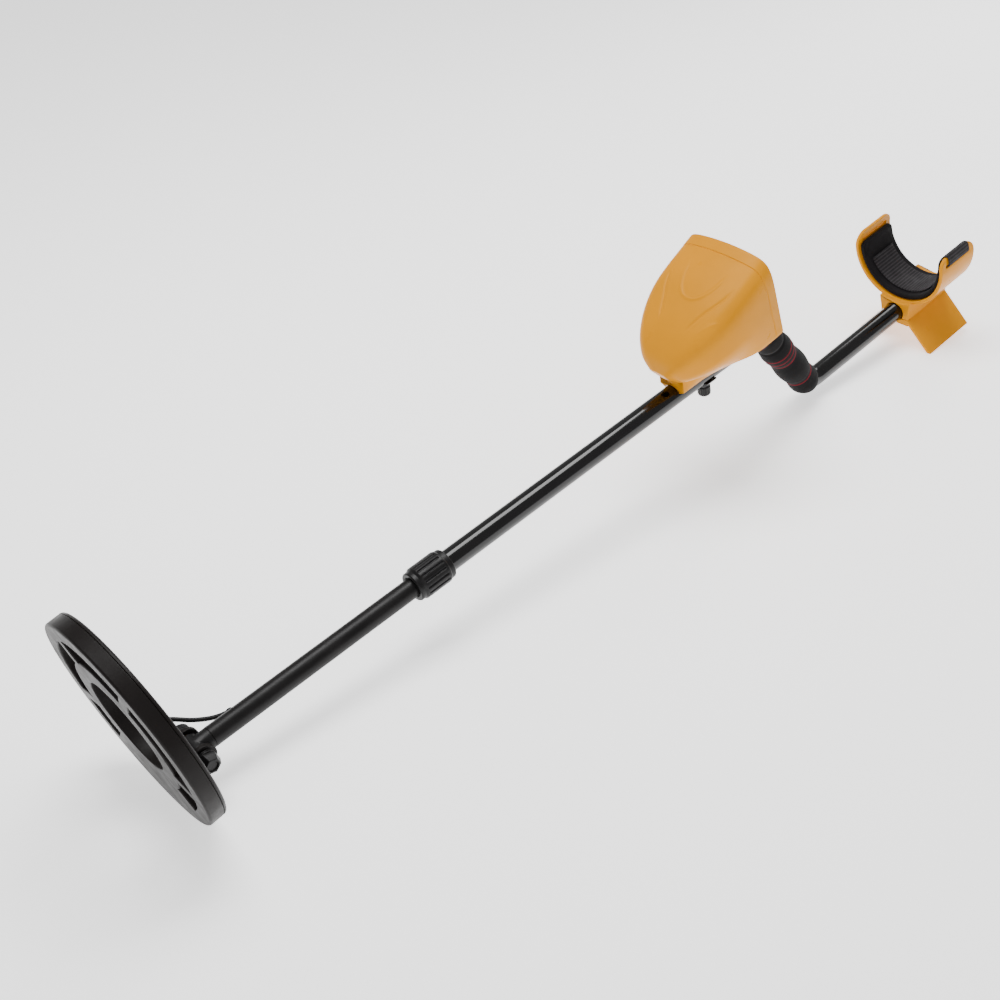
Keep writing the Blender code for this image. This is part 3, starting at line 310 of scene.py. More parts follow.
def blended(tree, factor, first, second, kind="MIX"):
    """Mixes two colours by a factor. The second may be a plain colour."""
    node = tree.nodes.new("ShaderNodeMix")
    node.data_type = "RGBA"
    node.blend_type = kind
    if isinstance(factor, float):
        node.inputs[0].default_value = factor
    else:
        tree.links.new(factor, node.inputs[0])
    tree.links.new(first, node.inputs[6])
    if isinstance(second, tuple):
        node.inputs[7].default_value = (*second, 1)
    else:
        tree.links.new(second, node.inputs[7])
    return node.outputs[2]


def bump(tree, shader, *layers):
    """Stacks (height, depth in metres) layers into the shader's normal."""
    normal = None
    for height, depth in layers:
        node = tree.nodes.new("ShaderNodeBump")
        node.inputs["Strength"].default_value = 1.0
        node.inputs["Distance"].default_value = depth
        tree.links.new(height, node.inputs["Height"])
        if normal:
            tree.links.new(normal, node.inputs["Normal"])
        normal = node.outputs["Normal"]
    tree.links.new(normal, shader.inputs["Normal"])


def shade(colour, factor):
    return tuple(min(c * factor, 1.0) for c in colour)


def uneven_sheen(tree, shader, value, smooth, rough, top=0.7):
    """Varies the roughness with a texture's value."""
    tree.links.new(spread(tree, value, 0.3, top, smooth, rough), shader.inputs["Roughness"])


def worn_edges(tree, colour, worn, amount):
    """Lightens the sharp edges a little, as handling does."""
    geometry = tree.nodes.new("ShaderNodeNewGeometry")
    edge = spread(tree, geometry.outputs["Pointiness"], 0.53, 0.62, 0.0, amount)
    return blended(tree, edge, colour, worn)


def moulded(name, colour, roughness, grain=1700.0, depth=0.00004, mottle=0.08, wear=0.25, worn=None,
            **sockets):
    """Moulded plastic: faint cloudiness, an uneven sheen, a fine spark-eroded grain and rubbed edges."""
    made, tree, shader = new_look(name, colour, roughness, **({"Specular_IOR_Level": 0.22} | sockets))
    cloud = texture(tree, "Noise", 22.0, Detail=3.0)
    base = ramp(tree, cloud, [(0.35, shade(colour, 1 - mottle)), (0.65, shade(colour, 1 + mottle))])
    tree.links.new(worn_edges(tree, base, worn or shade(colour, 1.6), wear), shader.inputs["Base Color"])
    rubbed = texture(tree, "Noise", 70.0, Detail=4.0)
    uneven_sheen(tree, shader, rubbed, roughness - 0.06, roughness + 0.07)
    bump(tree, shader, (texture(tree, "Noise", grain, Detail=2.0), depth),
         (texture(tree, "Noise", 130.0, Detail=1.0), depth * 1.5))
    return made


def painted(name, colour, roughness, peel, **sockets):
    """Stove enamel on a drawn tube: faint peel, with small scuffs along the tube."""
    made, tree, shader = new_look(name, colour, roughness, Specular_IOR_Level=0.2, **sockets)
    cloud = texture(tree, "Noise", 30.0, Detail=2.0)
    base = ramp(tree, cloud, [(0.4, shade(colour, 0.85)), (0.6, shade(colour, 1.2))])
    scuff = texture(tree, "Noise", 300.0, Detail=3.0, stretch=(0.10, 1.0, 1.0))
    marks = spread(tree, scuff, 0.66, 0.74, 0.0, 0.35)
    tree.links.new(blended(tree, marks, base, shade(colour, 3.0)), shader.inputs["Base Color"])
    uneven_sheen(tree, shader, scuff, roughness - 0.03, roughness + 0.10, 0.75)
    bump(tree, shader, (texture(tree, "Noise", peel, Detail=1.0), 0.000018))
    return made


def foam(name, colour, cell, depth, speck=1.6):
    """Closed-cell foam: small pores, a dull skin and dusty high spots."""
    made, tree, shader = new_look(name, colour, 0.88, Sheen_Weight=0.04, Sheen_Roughness=0.5,
                                  Specular_IOR_Level=0.12)
    pores = texture(tree, "Voronoi", cell)
    cloud = texture(tree, "Noise", 60.0, Detail=4.0)
    base = ramp(tree, cloud, [(0.35, shade(colour, 0.75)), (0.68, shade(colour, speck))])
    dark = ramp(tree, pores, [(0.0, (1.0, 1.0, 1.0)), (0.75, (0.70, 0.70, 0.70))])
    tree.links.new(blended(tree, 1.0, base, dark, "MULTIPLY"), shader.inputs["Base Color"])
    uneven_sheen(tree, shader, cloud, 0.78, 0.95)
    bump(tree, shader, (pores, depth), (texture(tree, "Noise", 260.0, Detail=3.0), depth * 1.2))
    return made


def webbing(name, colour):
    """Woven strap: warp yarns along it, weft ribs across it, and paler high yarns."""
    made, tree, shader = new_look(name, colour, 0.75, Sheen_Weight=0.06, Sheen_Roughness=0.4,
                                  Specular_IOR_Level=0.22)
    weft = texture(tree, "Wave", 1.0 / STRAP_RIB / (2 * math.pi), uv=True, bands_direction="Y",
                   Distortion=0.4)
    warp = texture(tree, "Wave", 1.0 / YARN / (2 * math.pi), uv=True, bands_direction="X", Distortion=0.3)
    yarn = blended(tree, 0.5, weft, warp, "OVERLAY")
    base = ramp(tree, yarn, [(0.15, shade(colour, 0.55)), (0.55, colour), (0.9, shade(colour, 2.4))])
    tree.links.new(base, shader.inputs["Base Color"])
    uneven_sheen(tree, shader, texture(tree, "Noise", 90.0), 0.62, 0.85)
    bump(tree, shader, (warp, 0.00012), (texture(tree, "Noise", 3200.0, Detail=2.0), 0.00005))
    return made


def metal(name, colour, roughness, stretch=(1.0, 1.0, 0.05)):
    """Plated steel or copper with fine drawing marks."""
    made, tree, shader = new_look(name, colour, roughness, Metallic=1.0)
    lines = texture(tree, "Noise", 1400.0, Detail=3.0, stretch=stretch)
    tree.links.new(ramp(tree, lines, [(0.3, shade(colour, 0.8)), (0.7, shade(colour, 1.12))]),
                   shader.inputs["Base Color"])
    uneven_sheen(tree, shader, lines, roughness - 0.05, roughness + 0.12)
    bump(tree, shader, (lines, 0.00001))
    return made


def board(name):
    """Green solder mask with paler tracks."""
    green = (0.015, 0.11, 0.04)
    made, tree, shader = new_look(name, green, 0.35, Coat_Weight=0.3)
    tracks = texture(tree, "Brick", 120.0, output=1, Mortar_Size=0.08)
    tree.links.new(ramp(tree, tracks, [(0.4, green), (0.6, (0.03, 0.20, 0.07))]), shader.inputs["Base Color"])
    uneven_sheen(tree, shader, texture(tree, "Noise", 50.0), 0.28, 0.42)
    bump(tree, shader, (tracks, 0.00003))
    return made


YELLOW = (0.63, 0.242, 0.0003)
LOOKS = {
    "coil": moulded("coil_moulding", (0.0075, 0.0058, 0.0054), 0.44, grain=1500, depth=0.00005, wear=0.35,
                    Specular_IOR_Level=0.14),
    "black": moulded("black_moulding", (0.0060, 0.0056, 0.0058), 0.38, grain=2200, depth=0.00003, wear=0.5),
    "yellow": moulded("yellow_moulding", YELLOW, 0.33, grain=1900, depth=0.000022, mottle=0.035, wear=0.3,
                      worn=(0.72, 0.32, 0.02), Specular_IOR_Level=0.14, Specular_Tint=(1.0, 0.72, 0.35, 1)),
    "gloss": painted("gloss_enamel", (0.0028, 0.0026, 0.0027), 0.14, 500.0, Coat_Weight=0.5,
                     Coat_Roughness=0.06),
    "satin": painted("satin_enamel", (0.0065, 0.0058, 0.0058), 0.36, 900.0),
    "grip": foam("grip_foam", (0.0042, 0.0038, 0.0042), 2600.0, 0.00006),
    "ring": foam("grip_foam_red", (0.155, 0.0015, 0.010), 2600.0, 0.00004),
    "pad": foam("pad_foam", (0.0070, 0.0058, 0.0066), 1500.0, 0.00011),
    "webbing": webbing("strap_webbing", (0.0115, 0.0098, 0.0110)),
    "rubber": moulded("black_rubber", (0.006, 0.006, 0.006), 0.62, grain=1300, depth=0.00005, wear=0.2),
    "nylon": moulded("nylon_moulding", (0.035, 0.034, 0.033), 0.48, grain=1600, wear=0.2),
    "cable": moulded("cable_sheath", (0.005, 0.0048, 0.005), 0.42, grain=900, depth=0.00003, wear=0.0),
    "steel": metal("zinc_steel", (0.62, 0.61, 0.60), 0.28),
    "copper": metal("copper_wire", (0.80, 0.36, 0.17), 0.30),
    "battery": moulded("battery_wrap", (0.10, 0.11, 0.13), 0.30, wear=0.3),
    "board": board("circuit_board_mask"),
    "display": moulded("liquid_crystal", (0.34, 0.40, 0.30), 0.30, grain=600, depth=0.00001, wear=0.0),
    "mark": moulded("white_mark", (0.75, 0.75, 0.72), 0.5, wear=0.0),
    "segment": moulded("dark_segment", (0.03, 0.035, 0.03), 0.5, wear=0.0),
}


def clear_look():
    made, tree, shader = new_look("clear_window", (0.93, 0.96, 0.95), 0.04, Transmission_Weight=1.0, IOR=1.46)
    haze = spread(tree, texture(tree, "Noise", 90.0, Detail=4.0), 0.35, 0.7, 0.03, 0.12)
    tree.links.new(haze, shader.inputs["Roughness"])
    return made


LOOKS["clear"] = clear_look()


# ---------------------------------------------------------------- mesh making
def raw(name, bm, matrix):
    """An object from a bmesh, welded and facing out, before it is finished."""
    bmesh.ops.remove_doubles(bm, verts=bm.verts, dist=1e-6)
    bmesh.ops.dissolve_degenerate(bm, dist=1e-7, edges=bm.edges)
    bmesh.ops.recalc_face_normals(bm, faces=bm.faces)
    mesh = bpy.data.meshes.new(name)
    bm.to_mesh(mesh)
    bm.free()
    made = bpy.data.objects.new(name, mesh)
    bpy.context.scene.collection.objects.link(made)
    made.matrix_world = matrix
    return made


def settle(piece, look, body, *stands_for, slot=None, sharp=42):
    """Smooths a piece, gives it its look and hangs it on its body."""
    mesh = piece.data
    mesh.transform(piece.matrix_world)
    piece.matrix_world = Matrix.Identity(4)
    mesh.shade_smooth()
    mesh.set_sharp_from_angle(angle=math.radians(sharp))
    looks = look if isinstance(look, tuple) else (look,)
    for one in looks:
        mesh.materials.append(LOOKS[one])
    piece.modifiers.new("normals", "WEIGHTED_NORMAL").keep_sharp = True
    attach(piece, body)
    if stands_for:
        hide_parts(*stands_for)
    return piece


def put(name, bm, matrix, look, body, *stands_for, slot=None, sharp=42):
    return settle(raw(name, bm, matrix), look, body, *stands_for, slot=slot, sharp=sharp)


def loft(loops, closed_path=False, caps=True):
    """A bmesh through equal loops of points."""
    bm = bmesh.new()
    rings = [[bm.verts.new(p) for p in loop] for loop in loops]
    count = len(rings[0])
    pairs = list(zip(rings, rings[1:]))
    if closed_path:
        pairs.append((rings[-1], rings[0]))
    for low, high in pairs:
        for i in range(count):
            j = (i + 1) % count
            bm.faces.new((low[i], low[j], high[j], high[i]))
    if caps and not closed_path:
        bm.faces.new(rings[0][::-1])
        bm.faces.new(rings[-1])
    return bm


def lathe(profile, segments=96, shape=None):
    """Turns a closed (radius, height) outline round z. shape may change each radius by (r, z, turn)."""
    bm = bmesh.new()
    columns = []
    for k in range(segments):
        turn = 2 * math.pi * k / segments
        column = []
        for r, z in profile:
            radius = shape(r, z, turn) if shape else r
            column.append(bm.verts.new((radius * math.cos(turn), radius * math.sin(turn), z)))
        columns.append(column)
    count = len(profile)
    for k in range(segments):
        here, there = columns[k], columns[(k + 1) % segments]
        for i in range(count):
            j = (i + 1) % count
            if profile[i][0] < 1e-9 and profile[j][0] < 1e-9:
                continue
            bm.faces.new((here[i], here[j], there[j], there[i]))
    return bm


def soft(outline, radius, steps=4):
    """The outline with its corners rounded where there is room. Points on the axis stay."""
    out = []
    count = len(outline)
    for i in range(count):
        before, corner, after = (Vector(outline[(i + k) % count]) for k in (-1, 0, 1))
        back, ahead = before - corner, after - corner
        if corner.x < 1e-9 and (before.x < 1e-9 or after.x < 1e-9) or back.angle(ahead) > math.radians(155):
            out.append(tuple(corner))
            continue
        reach = min(radius / math.tan(back.angle(ahead) / 2), 0.45 * back.length, 0.45 * ahead.length)
        first = corner + back.normalized() * reach
        last = corner + ahead.normalized() * reach
        for k in range(steps + 1):
            t = k / steps
            out.append(tuple((1 - t) ** 2 * first + 2 * t * (1 - t) * corner + t * t * last))
    return out


def arc(cx, cy, radius, start, end, steps):
    """Points of an arc, with its angles in degrees."""
    turns = [math.radians(start + (end - start) * k / steps) for k in range(steps + 1)]
    return [(cx + radius * math.cos(t), cy + radius * math.sin(t)) for t in turns]


def rounded_rect(cx, cy, width, height, radius, steps=8):
    hx, hy = width / 2 - radius, height / 2 - radius
    points = []
    for x, y, turn in ((hx, hy, 0), (-hx, hy, 90), (-hx, -hy, 180), (hx, -hy, 270)):
        points += arc(cx + x, cy + y, radius, turn, turn + 90, steps)
    return points


def offset(outline, inset):
    """The outline moved inwards by inset."""
    points = [Vector(p) for p in outline]
    count = len(points)
    area = sum(points[i].x * points[(i + 1) % count].y - points[(i + 1) % count].x * points[i].y
               for i in range(count))
    sign = 1 if area > 0 else -1
    out = []
    for i in range(count):
        a = (points[i] - points[i - 1]).normalized()
        b = (points[(i + 1) % count] - points[i]).normalized()
        n1, n2 = Vector((a.y, -a.x)) * sign, Vector((b.y, -b.x)) * sign
        middle = (n1 + n2) / max(1 + n1.dot(n2), 0.3)
        out.append(tuple(points[i] - middle * inset))
    return out


def slab(outline, low, high, edge=0.0006, steps=3):
    """A flat outline raised from low to high, with rounded edges at both faces."""
    levels = []
    for k in range(steps + 1):
        turn = math.pi / 2 * k / steps
        levels.append((edge * (1 - math.sin(turn)), edge * (1 - math.cos(turn))))
    loops = [[(x, y, low + rise) for x, y in offset(outline, inset)] for inset, rise in levels]
    loops += [[(x, y, high - rise) for x, y in offset(outline, inset)] for inset, rise in levels[::-1]]
    return loft(loops)


def combine(target, other, matrix, operation="DIFFERENCE"):
    """Applies one Boolean of a temporary bmesh, placed by matrix, to target."""
    tool = raw("tool", other, matrix)
    modifier = target.modifiers.new("combine", "BOOLEAN")
    modifier.operation = operation
    modifier.solver = "EXACT"
    modifier.object = tool
    bpy.context.view_layer.update()
    graph = bpy.context.evaluated_depsgraph_get()
    result = bpy.data.meshes.new_from_object(target.evaluated_get(graph))
    target.modifiers.clear()
    target.data = result
    bpy.data.objects.remove(tool)
    bm = bmesh.new()
    bm.from_mesh(result)
    bmesh.ops.remove_doubles(bm, verts=bm.verts, dist=2e-6)
    bmesh.ops.dissolve_degenerate(bm, dist=1e-6, edges=bm.edges)
    bm.to_mesh(result)
    bm.free()


def disc(radius, low, high):
    return [(0.0, low), (radius, low), (radius, high), (0.0, high)]


def smooth_path(points, step):
    """Points about a step apart along a Catmull-Rom curve through the given points."""
    ends = [2 * points[0] - points[1]] + list(points) + [2 * points[-1] - points[-2]]
    out = [points[0].copy()]
    for a, b, c, d in zip(ends, ends[1:], ends[2:], ends[3:]):
        pieces = max(1, round((c - b).length / step))
        for k in range(1, pieces + 1):
            t = k / pieces
            out.append(0.5 * ((2 * b) + (c - a) * t + (2 * a - 5 * b + 4 * c - d) * t * t
                              + (3 * b - a - 3 * c + d) * t ** 3))
    return out


def smooth_value(table, at):
    """A smooth reading between the (position, value) rows of a table."""
    k = max(i for i in range(len(table) - 1) if table[i][0] <= at + 1e-12)
    (x0, y0), (x1, y1) = table[k], table[k + 1]
    before, after = table[max(k - 1, 0)], table[min(k + 2, len(table) - 1)]
    slope0 = (y1 - before[1]) / (x1 - before[0])
    slope1 = (after[1] - y0) / (after[0] - x0)
    wide = x1 - x0
    t = min(max((at - x0) / wide, 0.0), 1.0)
    return ((2 * t ** 3 - 3 * t ** 2 + 1) * y0 + (t ** 3 - 2 * t ** 2 + t) * wide * slope0
            + (-2 * t ** 3 + 3 * t ** 2) * y1 + (t ** 3 - t ** 2) * wide * slope1)


def smooth_step(low, high, value):
    t = min(max((value - low) / (high - low), 0.0), 1.0)
    return t * t * (3 - 2 * t)


def path_lengths(points):
    lengths = [0.0]
    for a, b in zip(points, points[1:]):
        lengths.append(lengths[-1] + (b - a).length)
    return lengths


def tube(points, radius, segments=20):
    """A round solid tube along a free path, turned as little as possible, with flat ends."""
    ahead = [(points[min(k + 1, len(points) - 1)] - points[max(k - 1, 0)]).normalized()
             for k in range(len(points))]
    side = ahead[0].orthogonal().normalized()
    loops = []
    for k, point in enumerate(points):
        side = (side - ahead[k] * side.dot(ahead[k])).normalized()
        up = ahead[k].cross(side)
        loops.append([point + (side * math.cos(t) + up * math.sin(t)) * radius
                      for t in (2 * math.pi * j / segments for j in range(segments))])
    return loft(loops)


# ---------------------------------------------------------------- coil lead
def make_coil_lead():
    """The lead's free loop, from the gland's mouth to the grommet in the stem's far side."""
    mouth = GLAND @ Vector((0, 0, 0.0120 + GAP))
    start = GLAND @ Vector((0, 0, 0.0160))
    middle = [ROD @ Vector(p) for p in ((0.0050, 0.0345, 0.0070), (0.0160, 0.0260, 0.0025),
                                        (0.0270, 0.0205, -0.0015), (0.0360, 0.0175, -0.0038),
                                        (0.0415, 0.0142, -0.0026), (0.0430, 0.0106, -0.0006))]
    end = ROD @ Vector((CABLE_HOLE_S, STEM_BORE - 0.0002, 0.0))
    route = smooth_path([mouth, start] + middle + [end], 0.0012)
    lead = raw("coil_lead_sheath", tube(route, CABLE_R, 24), Matrix.Identity(4))
    lead.data.shade_smooth()
    lead.data.set_sharp_from_angle(angle=math.radians(50))
    lead.data.materials.append(LOOKS["cable"])
    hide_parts("coil_lead")
    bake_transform(lead)


# ---------------------------------------------------------------- coil
def sector(start, end, grow, steps):
    """The outline of one opening between the coil's rings, cut square along its spokes."""
    inner, outer, half = GAP_IN_R - grow, GAP_OUT_R + grow, SPOKE_HALF - grow
    outline = arc(0, 0, outer, start + math.degrees(half / outer), end - math.degrees(half / outer), steps)
    outline += arc(0, 0, inner, end - math.degrees(half / inner), start + math.degrees(half / inner), steps)
    return soft(outline, 0.0016 + grow, 4)


def coil_openings(target, low, high, flare_low, flare_high):
    """Cuts the ring openings, with rounded edges at either face."""
    side = math.degrees(SPOKE_HALF / GAP_IN_R)
    a, b = SPOKE_ANGLES
    spans = ((-a, a), (a, b), (-b, -a), (b, 180 - WEB_HALF + side), (WEB_HALF - 180 - side, -b))
    levels = [(low - 0.002, flare_low * 1.1)]
    for share in (0.02, 0.2, 0.5, 1.0):
        levels.append((low + flare_low * share, flare_low * (1 - math.sqrt(1 - (1 - share) ** 2))))
    for share in (1.0, 0.5, 0.2, 0.02):
        levels.append((high - flare_high * share, flare_high * (1 - math.sqrt(1 - (1 - share) ** 2))))
    levels.append((high + 0.002, flare_high * 1.1))
    for start, end in spans:
        steps = max(8, round((end - start) / 2.5))
        loops = [[(x, y, z) for x, y in sector(start, end, grow, steps)] for z, grow in levels]
        combine(target, loft(loops), COIL_MIDDLE)


def make_coil():
    bottom = COIL_TOP - COIL_THICK
    seam = COIL_TOP - LID_T
    wall, groove, top = 0.0024, bottom + 0.0030, seam - GAP
    edge = arc(COIL_R - EDGE_R, bottom + EDGE_R, EDGE_R, -90, 0, 6)
    profile = [(HOLE_R, bottom)] + edge + [
        (COIL_R, top), (COIL_R - wall, top), (COIL_R - wall, groove), (GAP_OUT_R + wall, groove),
        (GAP_OUT_R + wall, top), (GAP_IN_R - wall, top), (GAP_IN_R - wall, groove),
        (HOLE_R + wall, groove), (HOLE_R + wall, top), (HOLE_R, top)]
    shell = raw("coil_lower_shell", lathe(soft(profile, 0.0009), 180), COIL_MIDDLE)
    coil_openings(shell, bottom, top + 0.002, 0.0013, 0.0002)
    settle(shell, "coil", "coil", "coil_shell")
    rim = arc(COIL_R - TOP_EDGE_R, COIL_TOP - TOP_EDGE_R, TOP_EDGE_R, 0, 90, 6)
    lid_profile = soft([(HOLE_R, seam), (COIL_R, seam)] + rim + [(HOLE_R, COIL_TOP)], 0.0007)
    lid = raw("coil_top_lid", lathe(lid_profile, 180), COIL_MIDDLE)
    coil_openings(lid, seam - 0.002, COIL_TOP, 0.0002, 0.0011)
    settle(lid, "coil", "coil", "coil_lid")
    make_ears()
    make_gland()


def make_ears():
    """The two hinge ears on the lid, each with a foot plate."""
    foot = COIL_TOP - LID_T / 2
    outline = arc(0, 0, EAR_R, -28, 208, 40) + [(-0.0165, foot), (0.0165, foot)]
    for name, side in (("near", 1), ("far", -1)):
        middle = side * (EAR_IN + EAR_T / 2)
        stand_up = placing((0, middle, 0), (1, 0, 0), (0, 0, 1), (0, -1, 0))
        plate = slab(soft(outline, 0.001), -EAR_T / 2, EAR_T / 2, 0.0009)
        ear = raw(f"hinge_ear_{name}", plate, COIL @ stand_up)
        combine(ear, lathe(disc(BOLT_R + GAP, -0.01, 0.01), 32), ear.matrix_world.copy())
        settle(ear, "coil", "coil", slot="coil_plastic")
        foot_plate = slab(rounded_rect(0, middle, 0.0400, 0.0100, 0.0024), COIL_TOP - 0.0010,
                          COIL_TOP + 0.0012, 0.0008)
        put(f"hinge_foot_{name}", foot_plate, COIL, "coil", "coil", slot="coil_plastic")


def make_gland():
    """The strain relief: a flange and a ringed, tapered sleeve."""
    profile = [(0.0024, GAP), (0.0070, GAP), (0.0070, 0.0022), (0.0052, 0.0034)]
    for k in range(4):
        z, r = 0.0042 + 0.0018 * k, 0.0048 - 0.00028 * k
        profile += [(r, z), (r, z + 0.0010), (r - 0.0007, z + 0.0012), (r - 0.0007, z + 0.0016)]
    profile += [(0.0036, 0.0120), (0.0024, 0.0120)]
    put("ringed_gland", lathe(soft(profile, 0.0003, 2), 48), GLAND, "rubber", "coil", "cable_gland")


# ---------------------------------------------------------------- hinge
def make_hinge():
    out = EAR_IN + EAR_T
    tip = KNOB_END - 0.0032
    bolt = [(0.0, -out - HEAD_LONG + 0.0012), (0.0042, -out - HEAD_LONG + 0.0012), (0.0050, -out - HEAD_LONG),
            (HEAD_R - 0.0026, -out - HEAD_LONG), (HEAD_R, -out - HEAD_LONG + 0.0030), (HEAD_R, -out - 0.0035),
            (HEAD_R - 0.0006, -out - 0.0030), (HEAD_R - 0.0006, -out - 0.0022), (HEAD_R, -out - 0.0017),
            (HEAD_R, -out - GAP), (BOLT_R, -out - GAP), (BOLT_R, tip), (0.0, tip)]
    put("pivot_bolt", lathe(soft(bolt, 0.0009), 72), COIL_Y, "black", "coil", "hinge_bolt")
    spacer = [(BOLT_R + GAP, out + GAP), (SPACER_R, out + GAP), (SPACER_R, out + 0.0014),
              (SPACER_R - 0.0008, out + 0.0018), (SPACER_R - 0.0008, KNOB_START - 0.0014),
              (SPACER_R, KNOB_START - 0.0010), (SPACER_R, KNOB_START - GAP), (BOLT_R + GAP, KNOB_START - GAP)]
    put("pivot_spacer", lathe(soft(spacer, 0.0004, 3), 72), COIL_Y, "black", "coil", "hinge_spacer")

    loops = []
    for radius, z in ((0.0096, 0.0), (0.0101, 0.0002), (0.0104, 0.0007), (0.0106, 0.0030), (0.0092, 0.0060),
                      (0.0080, 0.0083), (0.0077, 0.0088), (0.0072, 0.0090)):
        corners = [(radius * math.cos(math.radians(60 * k + 6)), radius * math.sin(math.radians(60 * k + 6)))
                   for k in range(6)]
        loops.append([(x, y, KNOB_START + z) for x, y in soft(corners, 0.0016, 6)])
    knob = raw("hex_knob", loft(loops), COIL_Y)
    combine(knob, lathe(disc(BOLT_R + GAP, KNOB_START - 0.01, KNOB_END - 0.0028), 40), COIL_Y)
    cup = [(0.0, KNOB_END - 0.0018), (0.0044, KNOB_END - 0.0018), (0.0050, KNOB_END - 0.0012),
           (0.0054, KNOB_END - 0.0003), (0.0058, KNOB_END + 0.002), (0.0, KNOB_END + 0.002)]
    combine(knob, lathe(cup, 48), COIL_Y)
    settle(knob, "black", "hinge_knob", "hinge_knob")


# ---------------------------------------------------------------- stem
def make_stem():
    profile = [(STEM_BORE, STEM_START), (STEM_R, STEM_START), (STEM_R, STEM_END), (STEM_BORE, STEM_END)]
    stem = raw("lower_stem_tube", lathe(soft(profile, 0.0005), 96), ROD @ along_x(0))
    side = ROD @ placing((CABLE_HOLE_S, 0, 0), (1, 0, 0), (0, 0, -1), (0, 1, 0))
    combine(stem, lathe(disc(0.0038, 0.0, 0.02), 36), side)
    settle(stem, "satin", "stem", "lower_stem")
    ring = [(0.0023, STEM_R - 0.0016), (0.0036, STEM_R - 0.0016), (0.0036, STEM_R - 0.0002),
            (0.0050, STEM_R - 0.0001), (0.0048, STEM_R + 0.0010), (0.0024, STEM_R + 0.0013)]
    put("stem_grommet", lathe(soft(ring, 0.0003, 3), 40), side, "rubber", "stem", slot="rubber")

    width = EAR_IN - WASHER_T - 2 * GAP
    eye = [(0.0, -width), (STEM_R, -width), (STEM_R, width), (0.0, width)]
    tongue = raw("stem_tongue_eye", lathe(soft(eye, 0.0009), 64), ROD_Y)
    combine(tongue, lathe(disc(STEM_R - 0.00008, 0.0, STEM_START - GAP), 64), ROD @ along_x(0), "UNION")
    combine(tongue, lathe(disc(STEM_BORE - GAP, STEM_START - 0.004, 0.0360), 48), ROD @ along_x(0), "UNION")
    combine(tongue, lathe(disc(BOLT_R + GAP, -0.02, 0.02), 32), ROD_Y)
    settle(tongue, "black", "stem", "stem_tongue")


COLLAR_RIBS, GROOVE_DEEP = 16, 0.00125


def collar_shape(radius, z, turn):
    """Grooves along the collar's middle that leave broad lands between them."""
    start, end = COLLAR_S
    if radius < 0.0145:
        return radius
    window = smooth_step(start + 0.0070, start + 0.0086, z) * (1 - smooth_step(end - 0.0092, end - 0.0078, z))
    phase = (turn * COLLAR_RIBS / (2 * math.pi)) % 1.0
    away = abs(phase - 0.5) * 2
    groove = 1 - smooth_step(0.16, 0.44, away)
    return radius - window * GROOVE_DEEP * groove


def make_collar():
    start, end = COLLAR_S
    middle = [start + 0.0070 + 0.0004 * k for k in range(5)]
    middle += [start + 0.0086 + (end - 0.0092 - start - 0.0086) * k / 6 for k in range(1, 6)]
    middle += [end - 0.0092 + 0.0004 * k for k in range(5)]
    profile = [(0.0101, start), (0.0138, start), (0.0146, start + 0.0010), (0.0146, start + 0.0048),
               (0.0158, start + 0.0058)]
    profile = soft(profile + [(0.0162, start + 0.0066)], 0.0005, 3)[:-5] + [(0.0162, z) for z in middle]
    profile += [(0.0162, end - 0.0068), (0.0160, end - 0.0062), (0.0152, end - 0.0054),
                (0.0150, end - 0.0048), (0.0150, end - 0.0014), (0.0148, end - 0.0006), (0.0142, end),
                (ROD_R + GAP, end),
                (ROD_R + GAP, end - 0.0040), (0.0132, end - 0.0040), (0.0132, start + 0.0140),
                (0.0122, start + 0.0016), (0.0101, start + 0.0016)]
    put("ribbed_collar", lathe(profile, COLLAR_RIBS * 16, collar_shape), ROD @ along_x(0), "black", "collar",
        "lock_collar", sharp=55)


# ---------------------------------------------------------------- rod and grip
def rod_path(steps):
    """Centre points of the S-shaped rod in the rod frame: straight, bend, grip, bend, arm."""
    corner1 = Vector((BEND1_S, 0, 0))
    corner2 = Vector((BEND2_S, 0, ARM_U))
    end = Vector((ARM_END_S, 0, ARM_U + (ARM_END_S - BEND2_S) * ARM_SLOPE))
    points = [Vector((ROD_START, 0, 0))]
    for before, corner, after, radius in ((points[0], corner1, corner2, BEND1_R),
                                          (corner1, corner2, end, BEND2_R)):
        incoming = (corner - before).normalized()
        outgoing = (after - corner).normalized()
        half = incoming.angle(outgoing) / 2
        tangent = radius * math.tan(half)
        inward = (outgoing - incoming).normalized()
        centre = corner + inward * (radius / math.cos(half))
        first = corner - incoming * tangent - centre
        turn_axis = incoming.cross(outgoing).normalized()
        for k in range(steps + 1):
            points.append(centre + Matrix.Rotation(2 * half * k / steps, 3, turn_axis) @ first)
    points.append(end)
    return points


def sleeve(points, inner, outer, segments):
    """A hollow tube along a path in the rod's plane, with a radius for each point."""
    side = Vector((0, 1, 0))
    outer_loops, inner_loops = [], []
    for k, point in enumerate(points):
        before, after = points[max(k - 1, 0)], points[min(k + 1, len(points) - 1)]
        ahead = ((point - before).normalized() + (after - point).normalized()).normalized()
        up = ahead.cross(side).normalized() * -1
        for radii, loops in ((outer, outer_loops), (inner, inner_loops)):
            loops.append([point + (side * math.cos(t) + up * math.sin(t)) * radii[k]
                          for t in (2 * math.pi * j / segments for j in range(segments))])
    return loft(outer_loops + inner_loops[::-1], closed_path=True)


